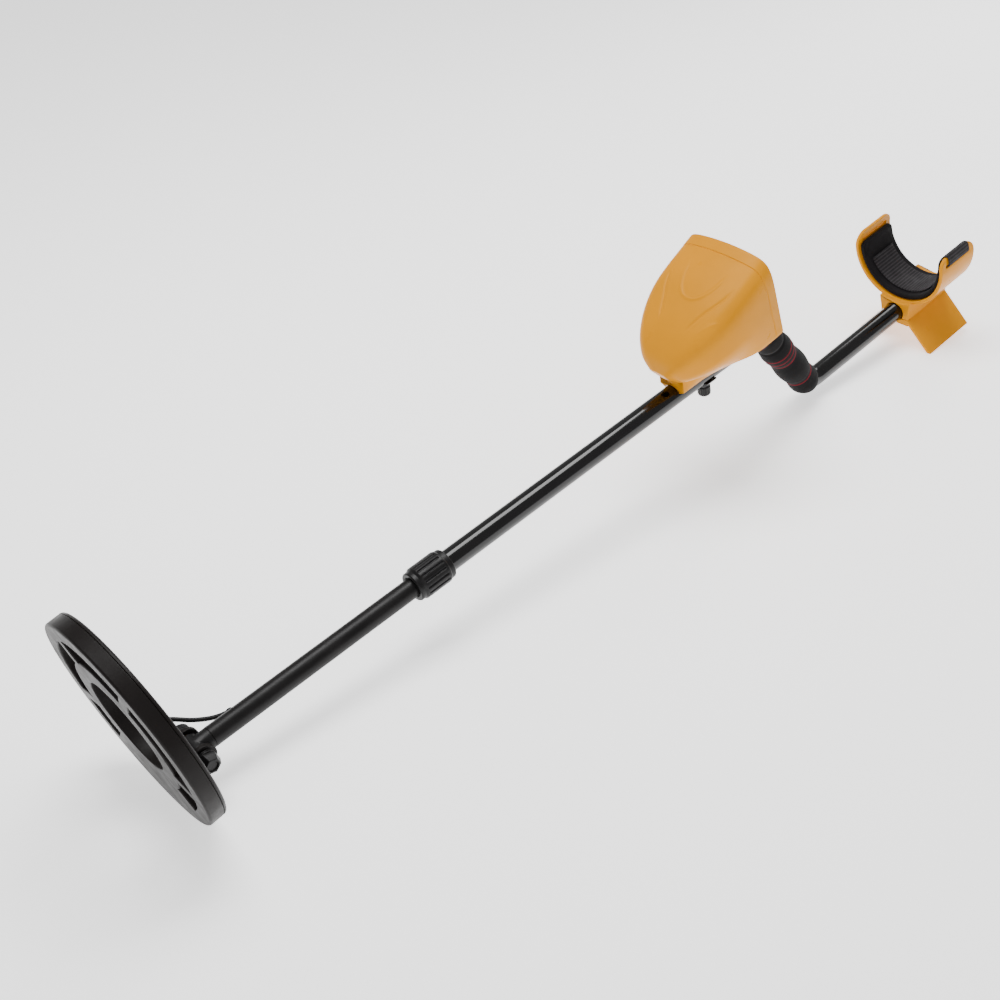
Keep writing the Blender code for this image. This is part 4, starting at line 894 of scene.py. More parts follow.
def make_rod():
    points = rod_path(28)
    count = len(points)
    rod = raw("bent_rod", sleeve(points, [ROD_BORE] * count, [ROD_R] * count, 80), ROD)
    up = placing((THUMB_S, 0, 0), (1, 0, 0), (0, 1, 0), (0, 0, 1))
    combine(rod, lathe(disc(SCREW_R + GAP, -0.02, 0.02), 32), ROD @ up)
    settle(rod, "gloss", "handle", "s_rod")
    plug = [(0.0, GAP), (ROD_R, GAP), (ROD_R, 0.0020), (0.0090, 0.0032), (0.0, 0.0032)]
    mouth = pitched(ROD @ points[-1], ARM_PITCH) @ along_x(0)
    put("rod_end_plug", lathe(soft(plug, 0.0008), 64), mouth, "rubber", "handle", "end_plug")


def make_grip():
    """The foam sleeve with its lobes and five red rings let into it."""
    path = rod_path(28)
    lengths = path_lengths(path)
    start = GRIP_START_S - ROD_START
    long = GRIP_LOBES[-1][0]
    stations = [0.0, 0.0002, 0.0005] + [0.0010 + 0.0007 * k for k in range(int((long - 0.0020) / 0.0007) + 1)]
    stations += [long - 0.0005, long - 0.0002, long]
    for ring in GRIP_RINGS:
        stations = [d for d in stations if abs(d - ring) > RING_HALF + 0.00045]
        stations += [ring - RING_HALF - 0.0003, ring - RING_HALF, ring - RING_HALF / 2, ring,
                     ring + RING_HALF / 2, ring + RING_HALF, ring + RING_HALF + 0.0003]
    stations.sort()
    centres, radii = [], []
    for along in stations:
        distance = start + along
        k = max(i for i in range(len(path) - 1) if lengths[i] <= distance + 1e-9)
        centres.append(path[k].lerp(path[k + 1], (distance - lengths[k]) / (lengths[k + 1] - lengths[k])))
        radius = smooth_value(GRIP_LOBES, along)
        near_end = min(along, long - along)
        radius -= 0.0016 * (1 - min(near_end / 0.0016, 1.0)) ** 2
        ring_away = min(abs(along - ring) for ring in GRIP_RINGS) / RING_HALF
        if ring_away <= 1.001:
            radius += 0.00022 * (1 - ring_away ** 2) - 0.00008
        radii.append(radius)
    bm = sleeve(centres, [ROD_R + GAP] * len(radii), radii, 96)
    bm.faces.ensure_lookup_table()
    for k in range(len(stations) - 1):
        middle = (stations[k] + stations[k + 1]) / 2
        if min(abs(middle - ring) for ring in GRIP_RINGS) < RING_HALF:
            for j in range(96):
                bm.faces[k * 96 + j].material_index = 1
    put("lobed_grip", bm, ROD, ("grip", "ring"), "handle", "foam_grip", sharp=60)


# ---------------------------------------------------------------- control box
def station_at(t):
    """The hood's section values at a fractional station, on a smooth curve through the stations."""
    k = min(int(t), len(HOOD_STATIONS) - 2)
    f = t - k
    a, b = HOOD_STATIONS[max(k - 1, 0)], HOOD_STATIONS[k]
    c, d = HOOD_STATIONS[k + 1], HOOD_STATIONS[min(k + 2, len(HOOD_STATIONS) - 1)]
    values = []
    for p, q, r, s in zip(a, b, c, d):
        bend, twist = 2 * p - 5 * q + 4 * r - s, 3 * q - p - 3 * r + s
        values.append(0.5 * (2 * q + (r - p) * f + bend * f * f + twist * f ** 3))
    return values


def hood_directions(steps):
    """Angles from the lower right edge over the top to the lower left, closer together at the corners."""
    quarter = []
    for k in range(steps + 1):
        w = 2 * k / steps - 1
        quarter.append(math.radians(45 + 45 * math.copysign(abs(w) ** 1.35, w)))
    return quarter + [math.pi - turn for turn in quarter[-2::-1]]


def hood_row(values, turns):
    """One section of the hood as points in the rod frame."""
    s_low, s_top, half_low, half, u_low, u_top, power = values
    n = 2 / power
    row = []
    for turn in turns:
        c, s = abs(math.cos(turn)), math.sin(turn)
        scale = (c ** n + max(s, 0.0) ** n) ** (-1 / n)
        across, rise = c * scale, s * scale
        drawn = min(rise / DRAWN_IN, 1.0)
        width = half_low + (half - half_low) * (1 - (1 - drawn) ** 2)
        height = u_low + (u_top - u_low) * rise * (1 - CROWN * across * across)
        side = 1 if turn < math.pi / 2 else -1
        row.append((s_low + (s_top - s_low) * rise, side * across * width, height))
    return row


def hood_rows():
    """Fractional stations about a millimetre apart, with extra ones at the moulding line."""
    rows = []
    for k in range(len(HOOD_STATIONS) - 1):
        a, b = HOOD_STATIONS[k], HOOD_STATIONS[k + 1]
        reach = max(math.hypot(b[1] - a[1], b[5] - a[5]), b[3] - a[3])
        steps = max(4, round(reach / 0.00105))
        rows += [k + f / steps for f in range(steps)]
    rows.append(len(HOOD_STATIONS) - 1.0)
    rows = [t for t in rows if abs(t - SEAM_STATION) > 0.06]
    rows += [SEAM_STATION + shift for shift in (-0.055, -0.035, -0.018, 0.0, 0.018, 0.035, 0.055)]
    return sorted(rows)


def raise_lines(points, normals):
    """Displaces grid points near the styling lines along their normals."""
    flat = points.reshape(-1, 3)
    lift = np.zeros(len(flat))
    for height, controls in HOOD_LINES:
        right = [Vector((x, -y, z)) for x, y, z in controls]
        left = [Vector(p) for p in controls]
        whole = [right + left[-2::-1]] if controls[-1][1] == 0 else [right, left]
        for line in whole:
            samples = smooth_path(line, 0.0004)
            tree = kdtree.KDTree(len(samples))
            for number, sample in enumerate(samples):
                tree.insert(sample, number)
            tree.balance()
            for number, point in enumerate(flat):
                _, found, away = tree.find(point)
                if away < 0.006:
                    share = found / (len(samples) - 1)
                    taper = smooth_step(0.0, 0.22, share) * (1 - smooth_step(0.78, 1.0, share))
                    lift[number] += height * taper * math.exp(-(away / LINE_WIDTH) ** 2)
    return points + normals * lift.reshape(points.shape[:2])[..., None]


def make_hood():
    """The moulded hood: a thin shell with a rolled rim, a moulding line and styling lines."""
    turns = hood_directions(110)
    stations = hood_rows()
    nose = station_at(0.0)
    rows = []
    for scale, ahead in ((0.02, 0.0016), (0.25, 0.0015), (0.5, 0.0013), (0.75, 0.0009), (0.92, 0.0004)):
        base = Vector((nose[0], 0, nose[4]))
        shift = Vector((ahead, 0, 0))
        rows.append([base + (Vector(p) - base) * scale - shift for p in hood_row(nose, turns)])
    rows += [[Vector(p) for p in hood_row(station_at(t), turns)] for t in stations]
    points = np.array([[tuple(p) for p in row] for row in rows])
    across = np.gradient(points, axis=1)
    along = np.gradient(points, axis=0)
    normals = np.cross(across, along)
    normals /= np.maximum(np.linalg.norm(normals, axis=2, keepdims=True), 1e-12)
    middle = np.array((0.66, 0.0, 0.05))
    if np.sum(normals * (points - middle)) < 0:
        normals = -normals
    points = raise_lines(points, normals)
    for number, t in enumerate([-1.0] * 5 + stations):
        away = abs(t - SEAM_STATION)
        if away < 0.06:
            points[number] -= normals[number] * 0.00050 * math.exp(-(away / 0.02) ** 2)
        if t > SEAM_STATION:
            points[number] += normals[number] * 0.00018
    inner = points - normals * HOOD_T
    bm = bmesh.new()
    skins = [[[bm.verts.new(p) for p in row] for row in skin] for skin in (points, inner)]
    for skin in skins:
        for low, high in zip(skin, skin[1:]):
            for i in range(len(low) - 1):
                bm.faces.new((low[i], low[i + 1], high[i + 1], high[i]))
    outer, inside = skins
    rim = [(outer[-1][i], inside[-1][i]) for i in range(len(turns))]
    borders = [rim]
    borders.append([(outer[k][0], inside[k][0]) for k in range(len(outer))])
    borders.append([(outer[k][-1], inside[k][-1]) for k in range(len(outer))])
    borders.append([(outer[0][i], inside[0][i]) for i in range(len(turns))])
    for border in borders:
        for (a, b), (c, d) in zip(border, border[1:]):
            bm.faces.new((a, c, d, b))
    hood = raw("moulded_hood", bm, ROD)
    bevel = hood.modifiers.new("rim", "BEVEL")
    bevel.width = 0.0007
    bevel.segments = 3
    bevel.limit_method = "ANGLE"
    bevel.angle_limit = math.radians(55)
    bevel.use_clamp_overlap = True
    settle(hood, "yellow", "handle", "hood", sharp=60)


def panel_outline(inset):
    """The panel's outline in the panel frame: the hood's rear section, inset, with a flat foot."""
    _, _, _, half, u_low, u_top, power = BOX_REAR
    tall = (u_top - u_low) / math.cos(PANEL_LEAN) - 0.0036
    foot = 0.0006
    n = 2 / power
    outline = []
    for turn in hood_directions(40):
        c, s = abs(math.cos(turn)), math.sin(turn)
        scale = (c ** n + max(s, 0.0) ** n) ** (-1 / n)
        across, rise = c * scale, s * scale
        side = 1 if turn < math.pi / 2 else -1
        outline.append((side * across * (half - inset),
                        foot + (tall - inset - foot) * rise * (1 - CROWN * across * across)))
    return outline


def make_panel():
    """The rear panel with its bezel, window, tick marks and the liquid crystal's bar scale."""
    outline = soft(panel_outline(HOOD_T + 0.0006), 0.0010)
    panel = raw("control_panel", slab(outline, RECESS - PANEL_T, RECESS, 0.0004), PANEL)
    x, y, width, height = WINDOW
    through = (RECESS - 0.01, RECESS + 0.01)
    combine(panel, slab(rounded_rect(x, y, width - 0.004, height - 0.004, 0.002), *through, 0.0001), PANEL)
    combine(panel, slab(rounded_rect(x, y, width + 2 * GAP, height + 2 * GAP, 0.003), RECESS - 0.0014,
                        RECESS + 0.01, 0.00005), PANEL)
    holes = [(kx, KNOB_Y, 0.0034) for kx in KNOB_X] + [(bx, BUTTON_Y, BUTTON_R + GAP) for bx in BUTTON_X]
    holes += [(*JACK_XY, 0.0034), (*SPEAKER_XY, 0.0014)]
    holes += [(SPEAKER_XY[0] + 0.0062 * math.cos(math.radians(60 * k)),
               SPEAKER_XY[1] + 0.0062 * math.sin(math.radians(60 * k)), 0.0014) for k in range(6)]
    holes += [(px, py, 0.0016) for px, py in PANEL_SCREWS]
    for hx, hy, radius in holes:
        combine(panel, lathe(disc(radius, *through), 32), PANEL @ Matrix.Translation((hx, hy, 0)))
    settle(panel, "black", "handle", "rear_panel")

    glass = slab(rounded_rect(x, y, width, height, 0.003), RECESS - 0.0014 + GAP, RECESS + 0.0002, 0.0003)
    put("window_glass", glass, PANEL, "clear", "handle", "display_window")
    frame_out = rounded_rect(x, y, width + 0.0070, height + 0.0070, 0.0055)
    frame_in = rounded_rect(x, y, width + 0.0010, height + 0.0010, 0.0034)
    loops = []
    for share, rise in ((0.0, 0.00002), (0.04, 0.0007), (0.14, 0.0011), (0.55, 0.0012), (0.88, 0.0008),
                        (1.0, 0.00002)):
        loops.append([(ax + (bx - ax) * share, ay + (by - ay) * share, RECESS + rise)
                      for (ax, ay), (bx, by) in zip(frame_out, frame_in)])
    put("window_bezel", loft(loops, closed_path=True), PANEL, "black", "handle", slot="black_plastic")

    ticks = bmesh.new()
    for kx in KNOB_X:
        for k in range(11):
            turn = math.radians(-135 + 27 * k)
            spot = Matrix.Translation((kx, KNOB_Y, RECESS)) @ Matrix.Rotation(turn, 4, "Z")
            add_bar(ticks, spot @ Matrix.Translation((0, 0.0122, 0)), 0.0005, 0.0014 if k % 5 else 0.0020)
    put("dial_ticks", ticks, PANEL, "mark", "handle", slot="display")
    bars = bmesh.new()
    level = RECESS - PANEL_T - GAP
    for k in range(15):
        turn = math.radians(42 - 6 * k)
        spot = Matrix.Translation((x, y - 0.0200, level)) @ Matrix.Rotation(turn, 4, "Z")
        add_bar(bars, spot @ Matrix.Translation((0, 0.0270, 0)), 0.0013, 0.0032)
    add_bar(bars, Matrix.Translation((x, y - 0.0040, level)), 0.0240, 0.0014)
    put("display_segments", bars, PANEL, "segment", "handle", slot="display")


def add_bar(bm, matrix, width, height, thick=0.00018):
    """Adds a small thin bar standing on z = 0 of its matrix."""
    bmesh.ops.create_cube(bm, size=1.0, matrix=matrix @ Matrix.Translation((0, 0, thick / 2 + 0.00002))
                          @ Matrix.Diagonal((width, height, thick, 1)))


def cross_screw(name, place, head, top, shank, bottom, body, node):
    """A pan-head screw with a cross recess. head and shank are radii; top and bottom are heights."""
    rim = top - 0.0015
    profile = [(0.0, bottom), (shank * 0.5, bottom), (shank, bottom + 0.0010), (shank, rim), (head, rim),
               (head, rim + 0.0005), (head * 0.80, top - 0.0003), (head * 0.4, top), (0.0, top)]
    made = raw(name, lathe(soft(profile, 0.0003, 3), 48), place)
    for turn in (0, 90):
        bar = bmesh.new()
        add_bar(bar, Matrix.Translation((0, 0, top - 0.0008)) @ Matrix.Rotation(math.radians(turn), 4, "Z"),
                head * 1.15, head * 0.26, 0.002)
        combine(made, bar, place)
    settle(made, "steel", body, node)


def knob_shape(radius, z, turn):
    """Fine flutes round the knob's skirt."""
    if radius < KNOB_R - 0.0026 or z < RECESS + 0.0026 or z > RECESS + 0.0122:
        return radius
    return radius - 0.00045 * (0.5 + 0.5 * math.cos(24 * turn)) ** 2


def make_controls():
    back = RECESS - PANEL_T - GAP
    for number, kx in enumerate(KNOB_X, 1):
        place = PANEL @ Matrix.Translation((kx, KNOB_Y, 0))
        knob = [(0.0033, RECESS + 0.0008), (KNOB_R, RECESS + 0.0008), (KNOB_R, RECESS + 0.0024),
                (KNOB_R - 0.0005, RECESS + 0.0030)]
        knob += [(KNOB_R - 0.0005 - 0.0010 * k / 6, RECESS + 0.0036 + 0.0080 * k / 6) for k in range(7)]
        knob += [(KNOB_R - 0.0020, RECESS + 0.0124), (KNOB_R - 0.0032, RECESS + 0.0129),
                 (KNOB_R - 0.0045, RECESS + 0.0126), (0.0, RECESS + 0.0126), (0.0, RECESS + 0.0094),
                 (0.0033, RECESS + 0.0094)]
        put(f"fluted_knob_{number}", lathe(soft(knob, 0.0004, 3), 144, knob_shape), place, "black",
            f"knob_{number}", f"knob_{number}")
        pointer = bmesh.new()
        add_bar(pointer, Matrix.Translation((0, 0.0048, RECESS + 0.0125)), 0.0010, 0.0040, 0.00025)
        put(f"knob_pointer_{number}", pointer, place, "mark", f"knob_{number}", slot="display")
    for number, bx in enumerate(BUTTON_X, 1):
        cap = [(0.0, back - 0.0030), (BUTTON_R + 0.0012, back - 0.0030), (BUTTON_R + 0.0012, back - 0.0018),
               (BUTTON_R, back - 0.0018), (BUTTON_R, RECESS + 0.0018), (BUTTON_R - 0.0008, RECESS + 0.0026),
               (0.0022, RECESS + 0.0026), (0.0, RECESS + 0.0024)]
        place = PANEL @ Matrix.Translation((bx, BUTTON_Y, 0))
        put(f"domed_button_{number}", lathe(soft(cap, 0.0005), 56), place, "rubber", f"button_{number}",
            f"button_{number}")
    jack = [(0.0018, back - 0.0090), (0.0050, back - 0.0090), (0.0050, back), (0.0030, back),
            (0.0030, RECESS + GAP), (0.0050, RECESS + GAP), (0.0050, RECESS + 0.0016),
            (0.0042, RECESS + 0.0022), (0.0018, RECESS + 0.0022)]
    put("jack_socket", lathe(soft(jack, 0.0002, 2), 48), PANEL @ Matrix.Translation((*JACK_XY, 0)), "steel",
        "handle", "headphone_jack")
    for number, (px, py) in enumerate(PANEL_SCREWS, 1):
        place = PANEL @ Matrix.Translation((px, py, 0))
        cross_screw(f"panel_cross_screw_{number}", place, 0.0026, RECESS + 0.0018, 0.0012, RECESS - 0.0070,
                    "handle", f"panel_screw_{number}")


def make_tray():
    """The box's lower moulding: a pan under the hood's edge that narrows to a saddle over the rod."""
    bore = ROD_R + 0.0004
    pan, keel = [], []
    for k in range(100):
        s, _, half, _, rim, _, _ = station_at(1.30 + 6.67 * k / 99)
        low = 1 - smooth_step(0.616, 0.656, s)
        foot_y = (half - 0.0016) * (1 - low) + 0.0160 * low
        foot_u = (rim - 0.0034) * (1 - low) + 0.0084 * low
        top = Vector((s, half - 0.0003, rim + 0.0006))
        foot = Vector((s, foot_y, foot_u))
        right = [top, top.lerp(foot, 0.4), top.lerp(foot, 0.8), foot + Vector((0, 0, 0.0007)),
                 foot + Vector((0, -0.0003, 0.0002)), foot + Vector((0, -0.0010, 0))]
        under = []
        for j in range(21):
            turn = math.radians(32 + 116 * j / 20)
            over_rod = Vector((s, bore * math.cos(turn), bore * math.sin(turn)))
            flat = Vector((s, (foot_y - 0.002) * (1 - j / 10), rim - 0.0034))
            under.append(flat.lerp(over_rod, low))
        left = [Vector((p.x, -p.y, p.z)) for p in right[::-1]]
        pan.append(right + under + left)
        sides = [Vector((s, SADDLE_HALF, u)) for u in (rim - 0.0010, 0.0094, 0.0088)]
        arch = [Vector((s, bore * math.cos(math.radians(t)), bore * math.sin(math.radians(t))))
                for t in range(38, 143, 4)]
        keel.append(sides + arch + [Vector((p.x, -p.y, p.z)) for p in sides[::-1]])
    put("tray_pan", loft(pan), ROD, "yellow", "handle", "base_tray")
    put("tray_saddle", loft(keel[:88]), ROD, "yellow", "handle", slot="yellow_plastic")
    rib = [(0.0185, 0.0040), (0.0185, 0.0300), (-0.0185, 0.0300), (-0.0185, 0.0040)]
    rib += arc(0, 0, bore, 158, 22, 24)
    rib_plate = slab(soft(rib, 0.0012, 4), 0.6845, 0.6915, 0.0008)
    put("saddle_rib", rib_plate, ROD @ along_x(0), "yellow", "handle", slot="yellow_plastic")


def thumb_shape(radius, z, turn):
    """Ribs round the thumb screw's head."""
    if radius < 0.0062 or z < ROD_R + 0.0040:
        return radius
    return radius - 0.00055 * (0.5 + 0.5 * math.cos(14 * turn)) ** 1.5


def make_thumb_screw():
    place = ROD @ placing((THUMB_S, 0, 0), (1, 0, 0), (0, -1, 0), (0, 0, -1))
    low = ROD_R + 0.0024 + GAP
    profile = [(0.0, -0.0125), (SCREW_R, -0.0125), (SCREW_R, low), (0.0058, low), (0.0058, low + 0.0014),
               (0.0069, low + 0.0024), (0.0069, 0.0168), (0.0069, 0.0200), (0.0069, 0.0232), (0.0069, 0.0248),
               (0.0060, 0.0262), (0.0, 0.0262)]
    put("ribbed_thumb_screw", lathe(soft(profile, 0.0006), 112, thumb_shape), place, "black", "box_screw",
        "thumb_screw")


# ---------------------------------------------------------------- armrest
def bend_round(a, h, radius, lean=0.0, wall=1.0):
    """The (y, z) place of a point at distance a along a U of that radius and h outside it."""
    quarter = math.pi * radius / 2
    if abs(a) <= quarter:
        turn = a / radius
        return (radius + h) * math.sin(turn), CUFF_CENTRE - (radius + h) * math.cos(turn)
    up = abs(a) - quarter
    return math.copysign(radius + h - lean * up / wall, a), CUFF_CENTRE + up


def make_cuff():
    """A flat plate with round tips and a slot near each, bent into a U, on its block over the tube."""
    middle = CUFF_R - CUFF_T / 2
    reach = math.pi * middle / 2 + CUFF_WALL
    x0, x1 = CUFF_X
    outline = []
    for cx, cy, turn in ((x1 - TIP_R, reach - TIP_R, 0), (x0 + TIP_R, reach - TIP_R, 90),
                         (x0 + TIP_R, TIP_R - reach, 180), (x1 - TIP_R, TIP_R - reach, 270)):
        outline += arc(cx, cy, TIP_R, turn, turn + 90, 12)
    plate = raw("bent_cuff", slab(outline, -CUFF_T / 2, CUFF_T / 2, 0.0011, 4), Matrix.Identity(4))
    for side in (-1, 1):
        y = side * (reach - SLOT_DOWN - SLOT[1] / 2)
        loops = []
        for h, grow in ((-0.003, 0.0007), (-0.002, 0.0006), (-0.0016, 0.0002), (-0.0012, 0.0), (0.0012, 0.0),
                        (0.0016, 0.0002), (0.002, 0.0006), (0.003, 0.0007)):
            loops.append([(px, py, h) for px, py in rounded_rect((x0 + x1) / 2, y, SLOT[0] + 2 * grow,
                                                                SLOT[1] + 2 * grow, 0.0012 + grow, 5)])
        combine(plate, loft(loops), Matrix.Identity(4))
    bm = bmesh.new()
    bm.from_mesh(plate.data)
    steps = 110
    for k in range(1, steps):
        cut_at = -reach + 2 * reach * k / steps
        bmesh.ops.bisect_plane(bm, geom=bm.verts[:] + bm.edges[:] + bm.faces[:], plane_co=(0, cut_at, 0),
                               plane_no=(0, 1, 0), dist=1e-7)
    for vertex in bm.verts:
        x, a, h = vertex.co
        y, z = bend_round(a, h, middle, CUFF_LEAN, CUFF_WALL)
        vertex.co = (x, y, z)
    bm.to_mesh(plate.data)
    bm.free()
    plate.matrix_world = ARM
    settle(plate, "yellow", "handle", "arm_cuff", sharp=50)

    (low_y, low_z), (high_y, high_z) = BLOCK
    bed = 0.0556
    seat = math.degrees(math.asin(high_y / bed))
    top = [(bed * math.sin(math.radians(t)), CUFF_CENTRE - bed * math.cos(math.radians(t)))
           for t in (seat - 2 * seat * k / 16 for k in range(17))]
    bore_turn = math.degrees(math.asin(-low_z / (ROD_R + GAP)))
    outline = top + [(-high_y, high_z - 0.001), (-low_y, low_z)]
    outline += arc(0, 0, ROD_R + GAP, 180 + bore_turn, -bore_turn, 36)
    outline += [(low_y, low_z), (high_y, high_z - 0.001)]
    put("cuff_block", slab(soft(outline, 0.0010), *BLOCK_X, 0.0011, 4), ARM @ along_x(0), "yellow", "handle",
        slot="yellow_plastic")


def make_stand():
    """The lower saddle with its two splayed legs, as one rounded moulding."""
    (top_y, top_z), (foot_y, foot_z) = LEG
    inward = LEG_T * math.hypot(foot_y - top_y, foot_z - top_z) / (top_z - foot_z)
    knee = top_z - inward * (top_z - foot_z) / (foot_y - top_y)
    half = [(top_y, top_z), (foot_y, foot_z), (foot_y - inward, foot_z), (top_y, knee), (top_y, STAND_BOTTOM)]
    bore_turn = math.degrees(math.asin(-SEAM_V / (ROD_R + GAP)))
    outline = half + [(-y, z) for y, z in half[::-1]]
    outline += arc(0, 0, ROD_R + GAP, 180 + bore_turn, 360 - bore_turn, 30)
    stand = raw("splayed_stand", slab(soft(outline, 0.0008), *BLOCK_X, 0.0009, 4), ARM @ along_x(0))
    settle(stand, "yellow", "handle", "stand")
    for number, (x, y) in enumerate(STAND_SCREWS, 1):
        place = ARM @ placing((x, y, 0), (1, 0, 0), (0, -1, 0), (0, 0, -1))
        cross_screw(f"stand_cross_screw_{number}", place, 0.0028, -STAND_BOTTOM + 0.0020, 0.0013, -0.0016,
                    "handle", f"stand_screw_{number}")


def pad_grid():
    """The pad's starting grid: rounded ends and edges, a little thinner than the finished pad."""
    outer = CUFF_R - CUFF_T - GAP
    middle = outer - PAD_T / 2
    reach = math.pi * middle / 2 + CUFF_WALL - 0.0125
    half = (CUFF_X[1] - CUFF_X[0]) / 2 - 0.003
    centre = sum(CUFF_X) / 2
    corner, edge, thick = 0.0075, 0.0028, PAD_T / 2 - 0.0003
    rim = (0.0, 0.00025, 0.0008, 0.0016, 0.0028)

    def spaced(limit, step):
        inside = limit - rim[-1]
        count = round(2 * inside / step)
        body = [-inside + 2 * inside * k / count for k in range(count + 1)]
        return [-limit + r for r in rim[:-1]] + body + [limit - r for r in rim[:-1][::-1]]

    rows, columns = spaced(reach, 0.0019), spaced(half, 0.0019)
    grid = []
    for a in rows:
        end = reach - abs(a)
        pull = 0.0
        if end < corner:
            pull = corner - math.sqrt(max(corner ** 2 - max(corner - end, 0.0) ** 2, 0.0))
        wide = half - pull
        line = []
        for c in columns:
            x = c * wide / half
            depth = min(end, wide - abs(x))
            round_off = math.sqrt(max(1 - (1 - min(depth / edge, 1.0)) ** 2, 0.0))
            line.append((centre + x, a, thick * round_off))
        grid.append(line)
    return grid, middle


def make_pad():
    """The foam pad: its face is puffed by a short cloth simulation while its back stays on the cuff."""
    grid, middle = pad_grid()
    bm = bmesh.new()
    faces = []
    for sign in (-1, 1):
        skin = []
        for line in grid:
            row = []
            for x, a, h in line:
                y, z = bend_round(a, sign * h, middle)
                row.append(bm.verts.new((x, y, z)))
            skin.append(row)
        faces.append(skin)
    for skin in faces:
        for low, high in zip(skin, skin[1:]):
            for i in range(len(low) - 1):
                bm.faces.new((low[i], low[i + 1], high[i + 1], high[i]))
    pad = raw("puffed_pad", bm, ARM)
    rest = [v.co.copy() for v in pad.data.vertices]
    group = pad.vertex_groups.new(name="held")
    for vertex in pad.data.vertices:
        away = math.hypot(vertex.co.y, min(vertex.co.z - CUFF_CENTRE, 0.0))
        if away > middle + 0.0006:
            group.add([vertex.index], 1.0, "REPLACE")
    cloth = pad.modifiers.new("cloth", "CLOTH")
    cloth.settings.vertex_group_mass = "held"
    cloth.settings.use_pressure = True
    cloth.settings.uniform_pressure_force = 4.0
    cloth.settings.effector_weights.gravity = 0.0
    cloth.settings.quality = 5
    cloth.settings.tension_stiffness = 20.0
    cloth.settings.shear_stiffness = 12.0
    cloth.settings.bending_stiffness = 2.0
    cloth.point_cache.frame_end = 20
    scene = bpy.context.scene
    for number in range(1, 21):
        scene.frame_set(number)
    graph = bpy.context.evaluated_depsgraph_get()
    moved = pad.evaluated_get(graph).to_mesh()
    puffed = [v.co.copy() for v in moved.vertices]
    pad.evaluated_get(graph).to_mesh_clear()
    pad.modifiers.clear()
    pad.vertex_groups.clear()
    scene.frame_set(1)
    cap = 0.0007
    for vertex, start, end in zip(pad.data.vertices, rest, puffed):
        step = end - start
        vertex.co = start + step * min(1.0, cap / max(step.length, 1e-9))
    settle(pad, "pad", "handle", "arm_pad", slot=None, sharp=80)
    pad.modifiers.clear()
    smooth = pad.modifiers.new("smooth", "SUBSURF")
    smooth.levels = smooth.render_levels = 1


def strap_line():
    """The strap's centre line in the arm frame's y and z, from its free end round the near slot."""
    lying = CUFF_R - CUFF_T - GAP - PAD_T - STRAP_T / 2 - 0.0003
    line = []
    for k in range(27):
        turn = math.radians(66 - 126 * k / 26)
        line.append((lying * math.sin(turn), CUFF_CENTRE - lying * math.cos(turn)))
    line[0] = (line[0][0] - 0.0006, line[0][1])
    line += [(-0.0435, 0.0520), (-0.0450, 0.0580), (-0.0457, 0.0650), (-0.0462, 0.0720), (-0.0490, 0.0790),
             (-0.0522, 0.0834), (-0.0552, 0.0849), (-0.0578, 0.0842), (-0.0591, 0.0810), (-0.0596, 0.0770),
             (-0.0594, 0.0746), (-0.0578, 0.0735), (-0.0560, 0.0734), (-0.0535, 0.0733), (-0.0510, 0.0727),
             (-0.0490, 0.0708), (-0.0482, 0.0670), (-0.0479, 0.0620), (-0.0472, 0.0575)]
    return smooth_path([Vector((0, y, z)) for y, z in line], 0.0003)


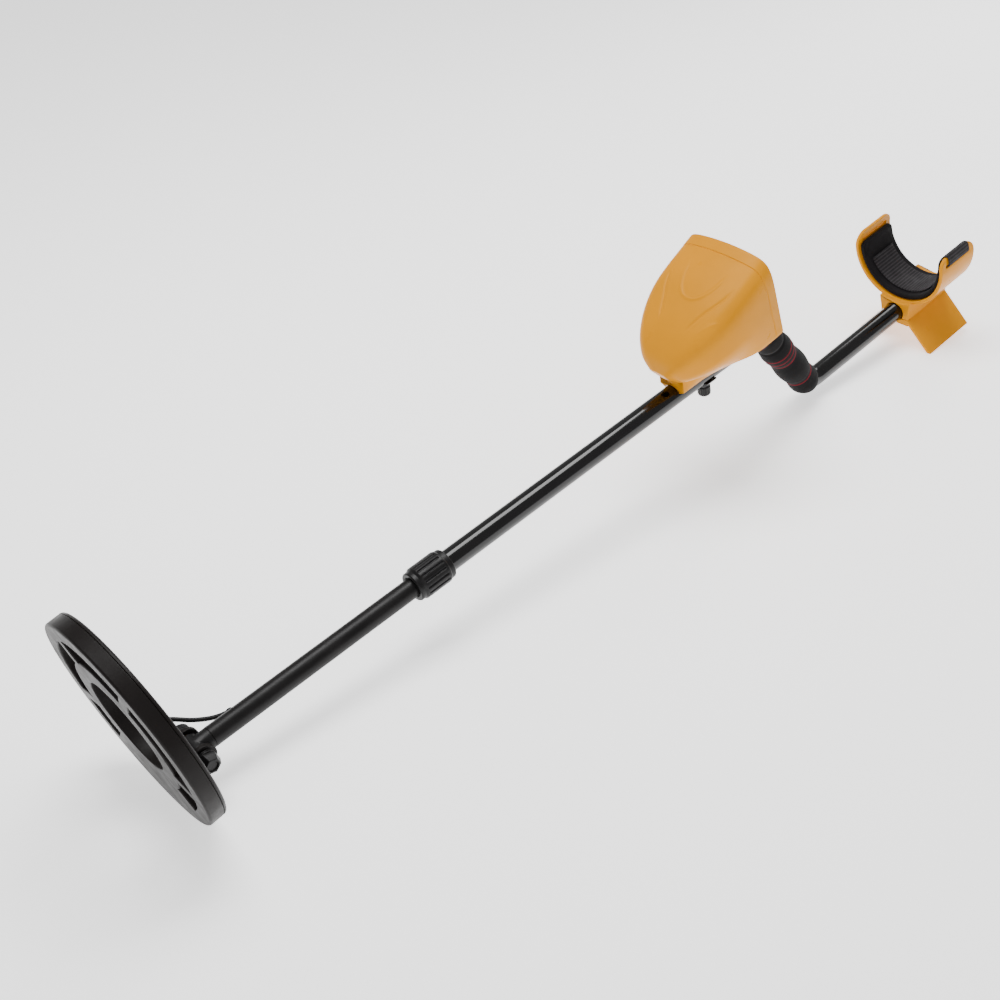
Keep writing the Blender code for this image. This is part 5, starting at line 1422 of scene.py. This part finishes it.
def make_strap():
    """The webbing strap, with its woven ribs across it and rounded selvedges."""
    points = strap_line()
    lengths = path_lengths(points)
    centre = sum(CUFF_X) / 2
    columns = [k / 22 * 2 - 1 for k in range(23)]
    columns = [math.copysign(1 - (1 - abs(c)) ** 1.35, c) for c in columns]
    bm = bmesh.new()
    layer = bm.loops.layers.uv.new("weave")
    skins = ([], [])
    for k, point in enumerate(points):
        before, after = points[max(k - 1, 0)], points[min(k + 1, len(points) - 1)]
        ahead = (after - before).normalized()
        normal = Vector((0, -ahead.z, ahead.y))
        end = min(lengths[k], lengths[-1] - lengths[k])
        square = math.sqrt(1 - (1 - min(end / 0.0007, 1.0)) ** 2)
        rib = 0.00010 * math.cos(2 * math.pi * lengths[k] / STRAP_RIB)
        for sign, skin in zip((-1, 1), skins):
            row = []
            for c in columns:
                selvedge = math.sqrt(max(1 - max(abs(c) * STRAP_W / 2 - STRAP_W / 2 + 0.0008, 0.0) ** 2
                                         / 0.0008 ** 2, 0.0))
                yarn = 0.00005 * math.cos(c * STRAP_W / 2 / YARN * math.pi)
                thick = (STRAP_T / 2 - 0.00018 + rib + yarn) * selvedge * square
                aside = Vector((centre + c * STRAP_W / 2, 0, 0))
                row.append(bm.verts.new(point + normal * sign * thick + aside))
            skin.append(row)
    for skin in skins:
        for k in range(len(points) - 1):
            for i in range(len(columns) - 1):
                face = bm.faces.new((skin[k][i], skin[k][i + 1], skin[k + 1][i + 1], skin[k + 1][i]))
                spots = ((k, i), (k, i + 1), (k + 1, i + 1), (k + 1, i))
                for loop, (row, column) in zip(face.loops, spots):
                    loop[layer].uv = (columns[column] * STRAP_W / 2, lengths[row])
    strap = raw("woven_strap", bm, ARM)
    settle(strap, "webbing", "handle", "arm_strap", sharp=70)


# ---------------------------------------------------------------- carried-over nodes
KEPT_LOOKS = {
    "collet": "nylon", "guide_bush": "nylon", "saddle_washer": "black",
    "washer_near": "nylon", "washer_far": "nylon", "outer_winding": "copper", "inner_winding": "copper",
    "stem_lead": "cable", "display_module": "display", "circuit_board": "board", "speaker": "rubber",
    "potentiometer_1": "steel", "potentiometer_2": "steel", "potentiometer_3": "steel",
    "battery_holder": "nylon", "battery_1": "battery", "battery_2": "battery",
}


def dress_kept_nodes():
    """Gives the CAD nodes that stay their materials."""
    for node, look in KEPT_LOOKS.items():
        for piece in bpy.context.scene.objects:
            if piece.get("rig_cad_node") == node or piece.name == node:
                piece.data.materials.clear()
                piece.data.materials.append(LOOKS[look])


# ---------------------------------------------------------------- assembly
make_camera()
make_coil_lead()
make_studio()
make_coil()
make_hinge()
make_stem()
make_collar()
make_rod()
make_grip()
make_hood()
make_panel()
make_controls()
make_tray()
make_thumb_screw()
make_cuff()
make_stand()
make_pad()
make_strap()
dress_kept_nodes()
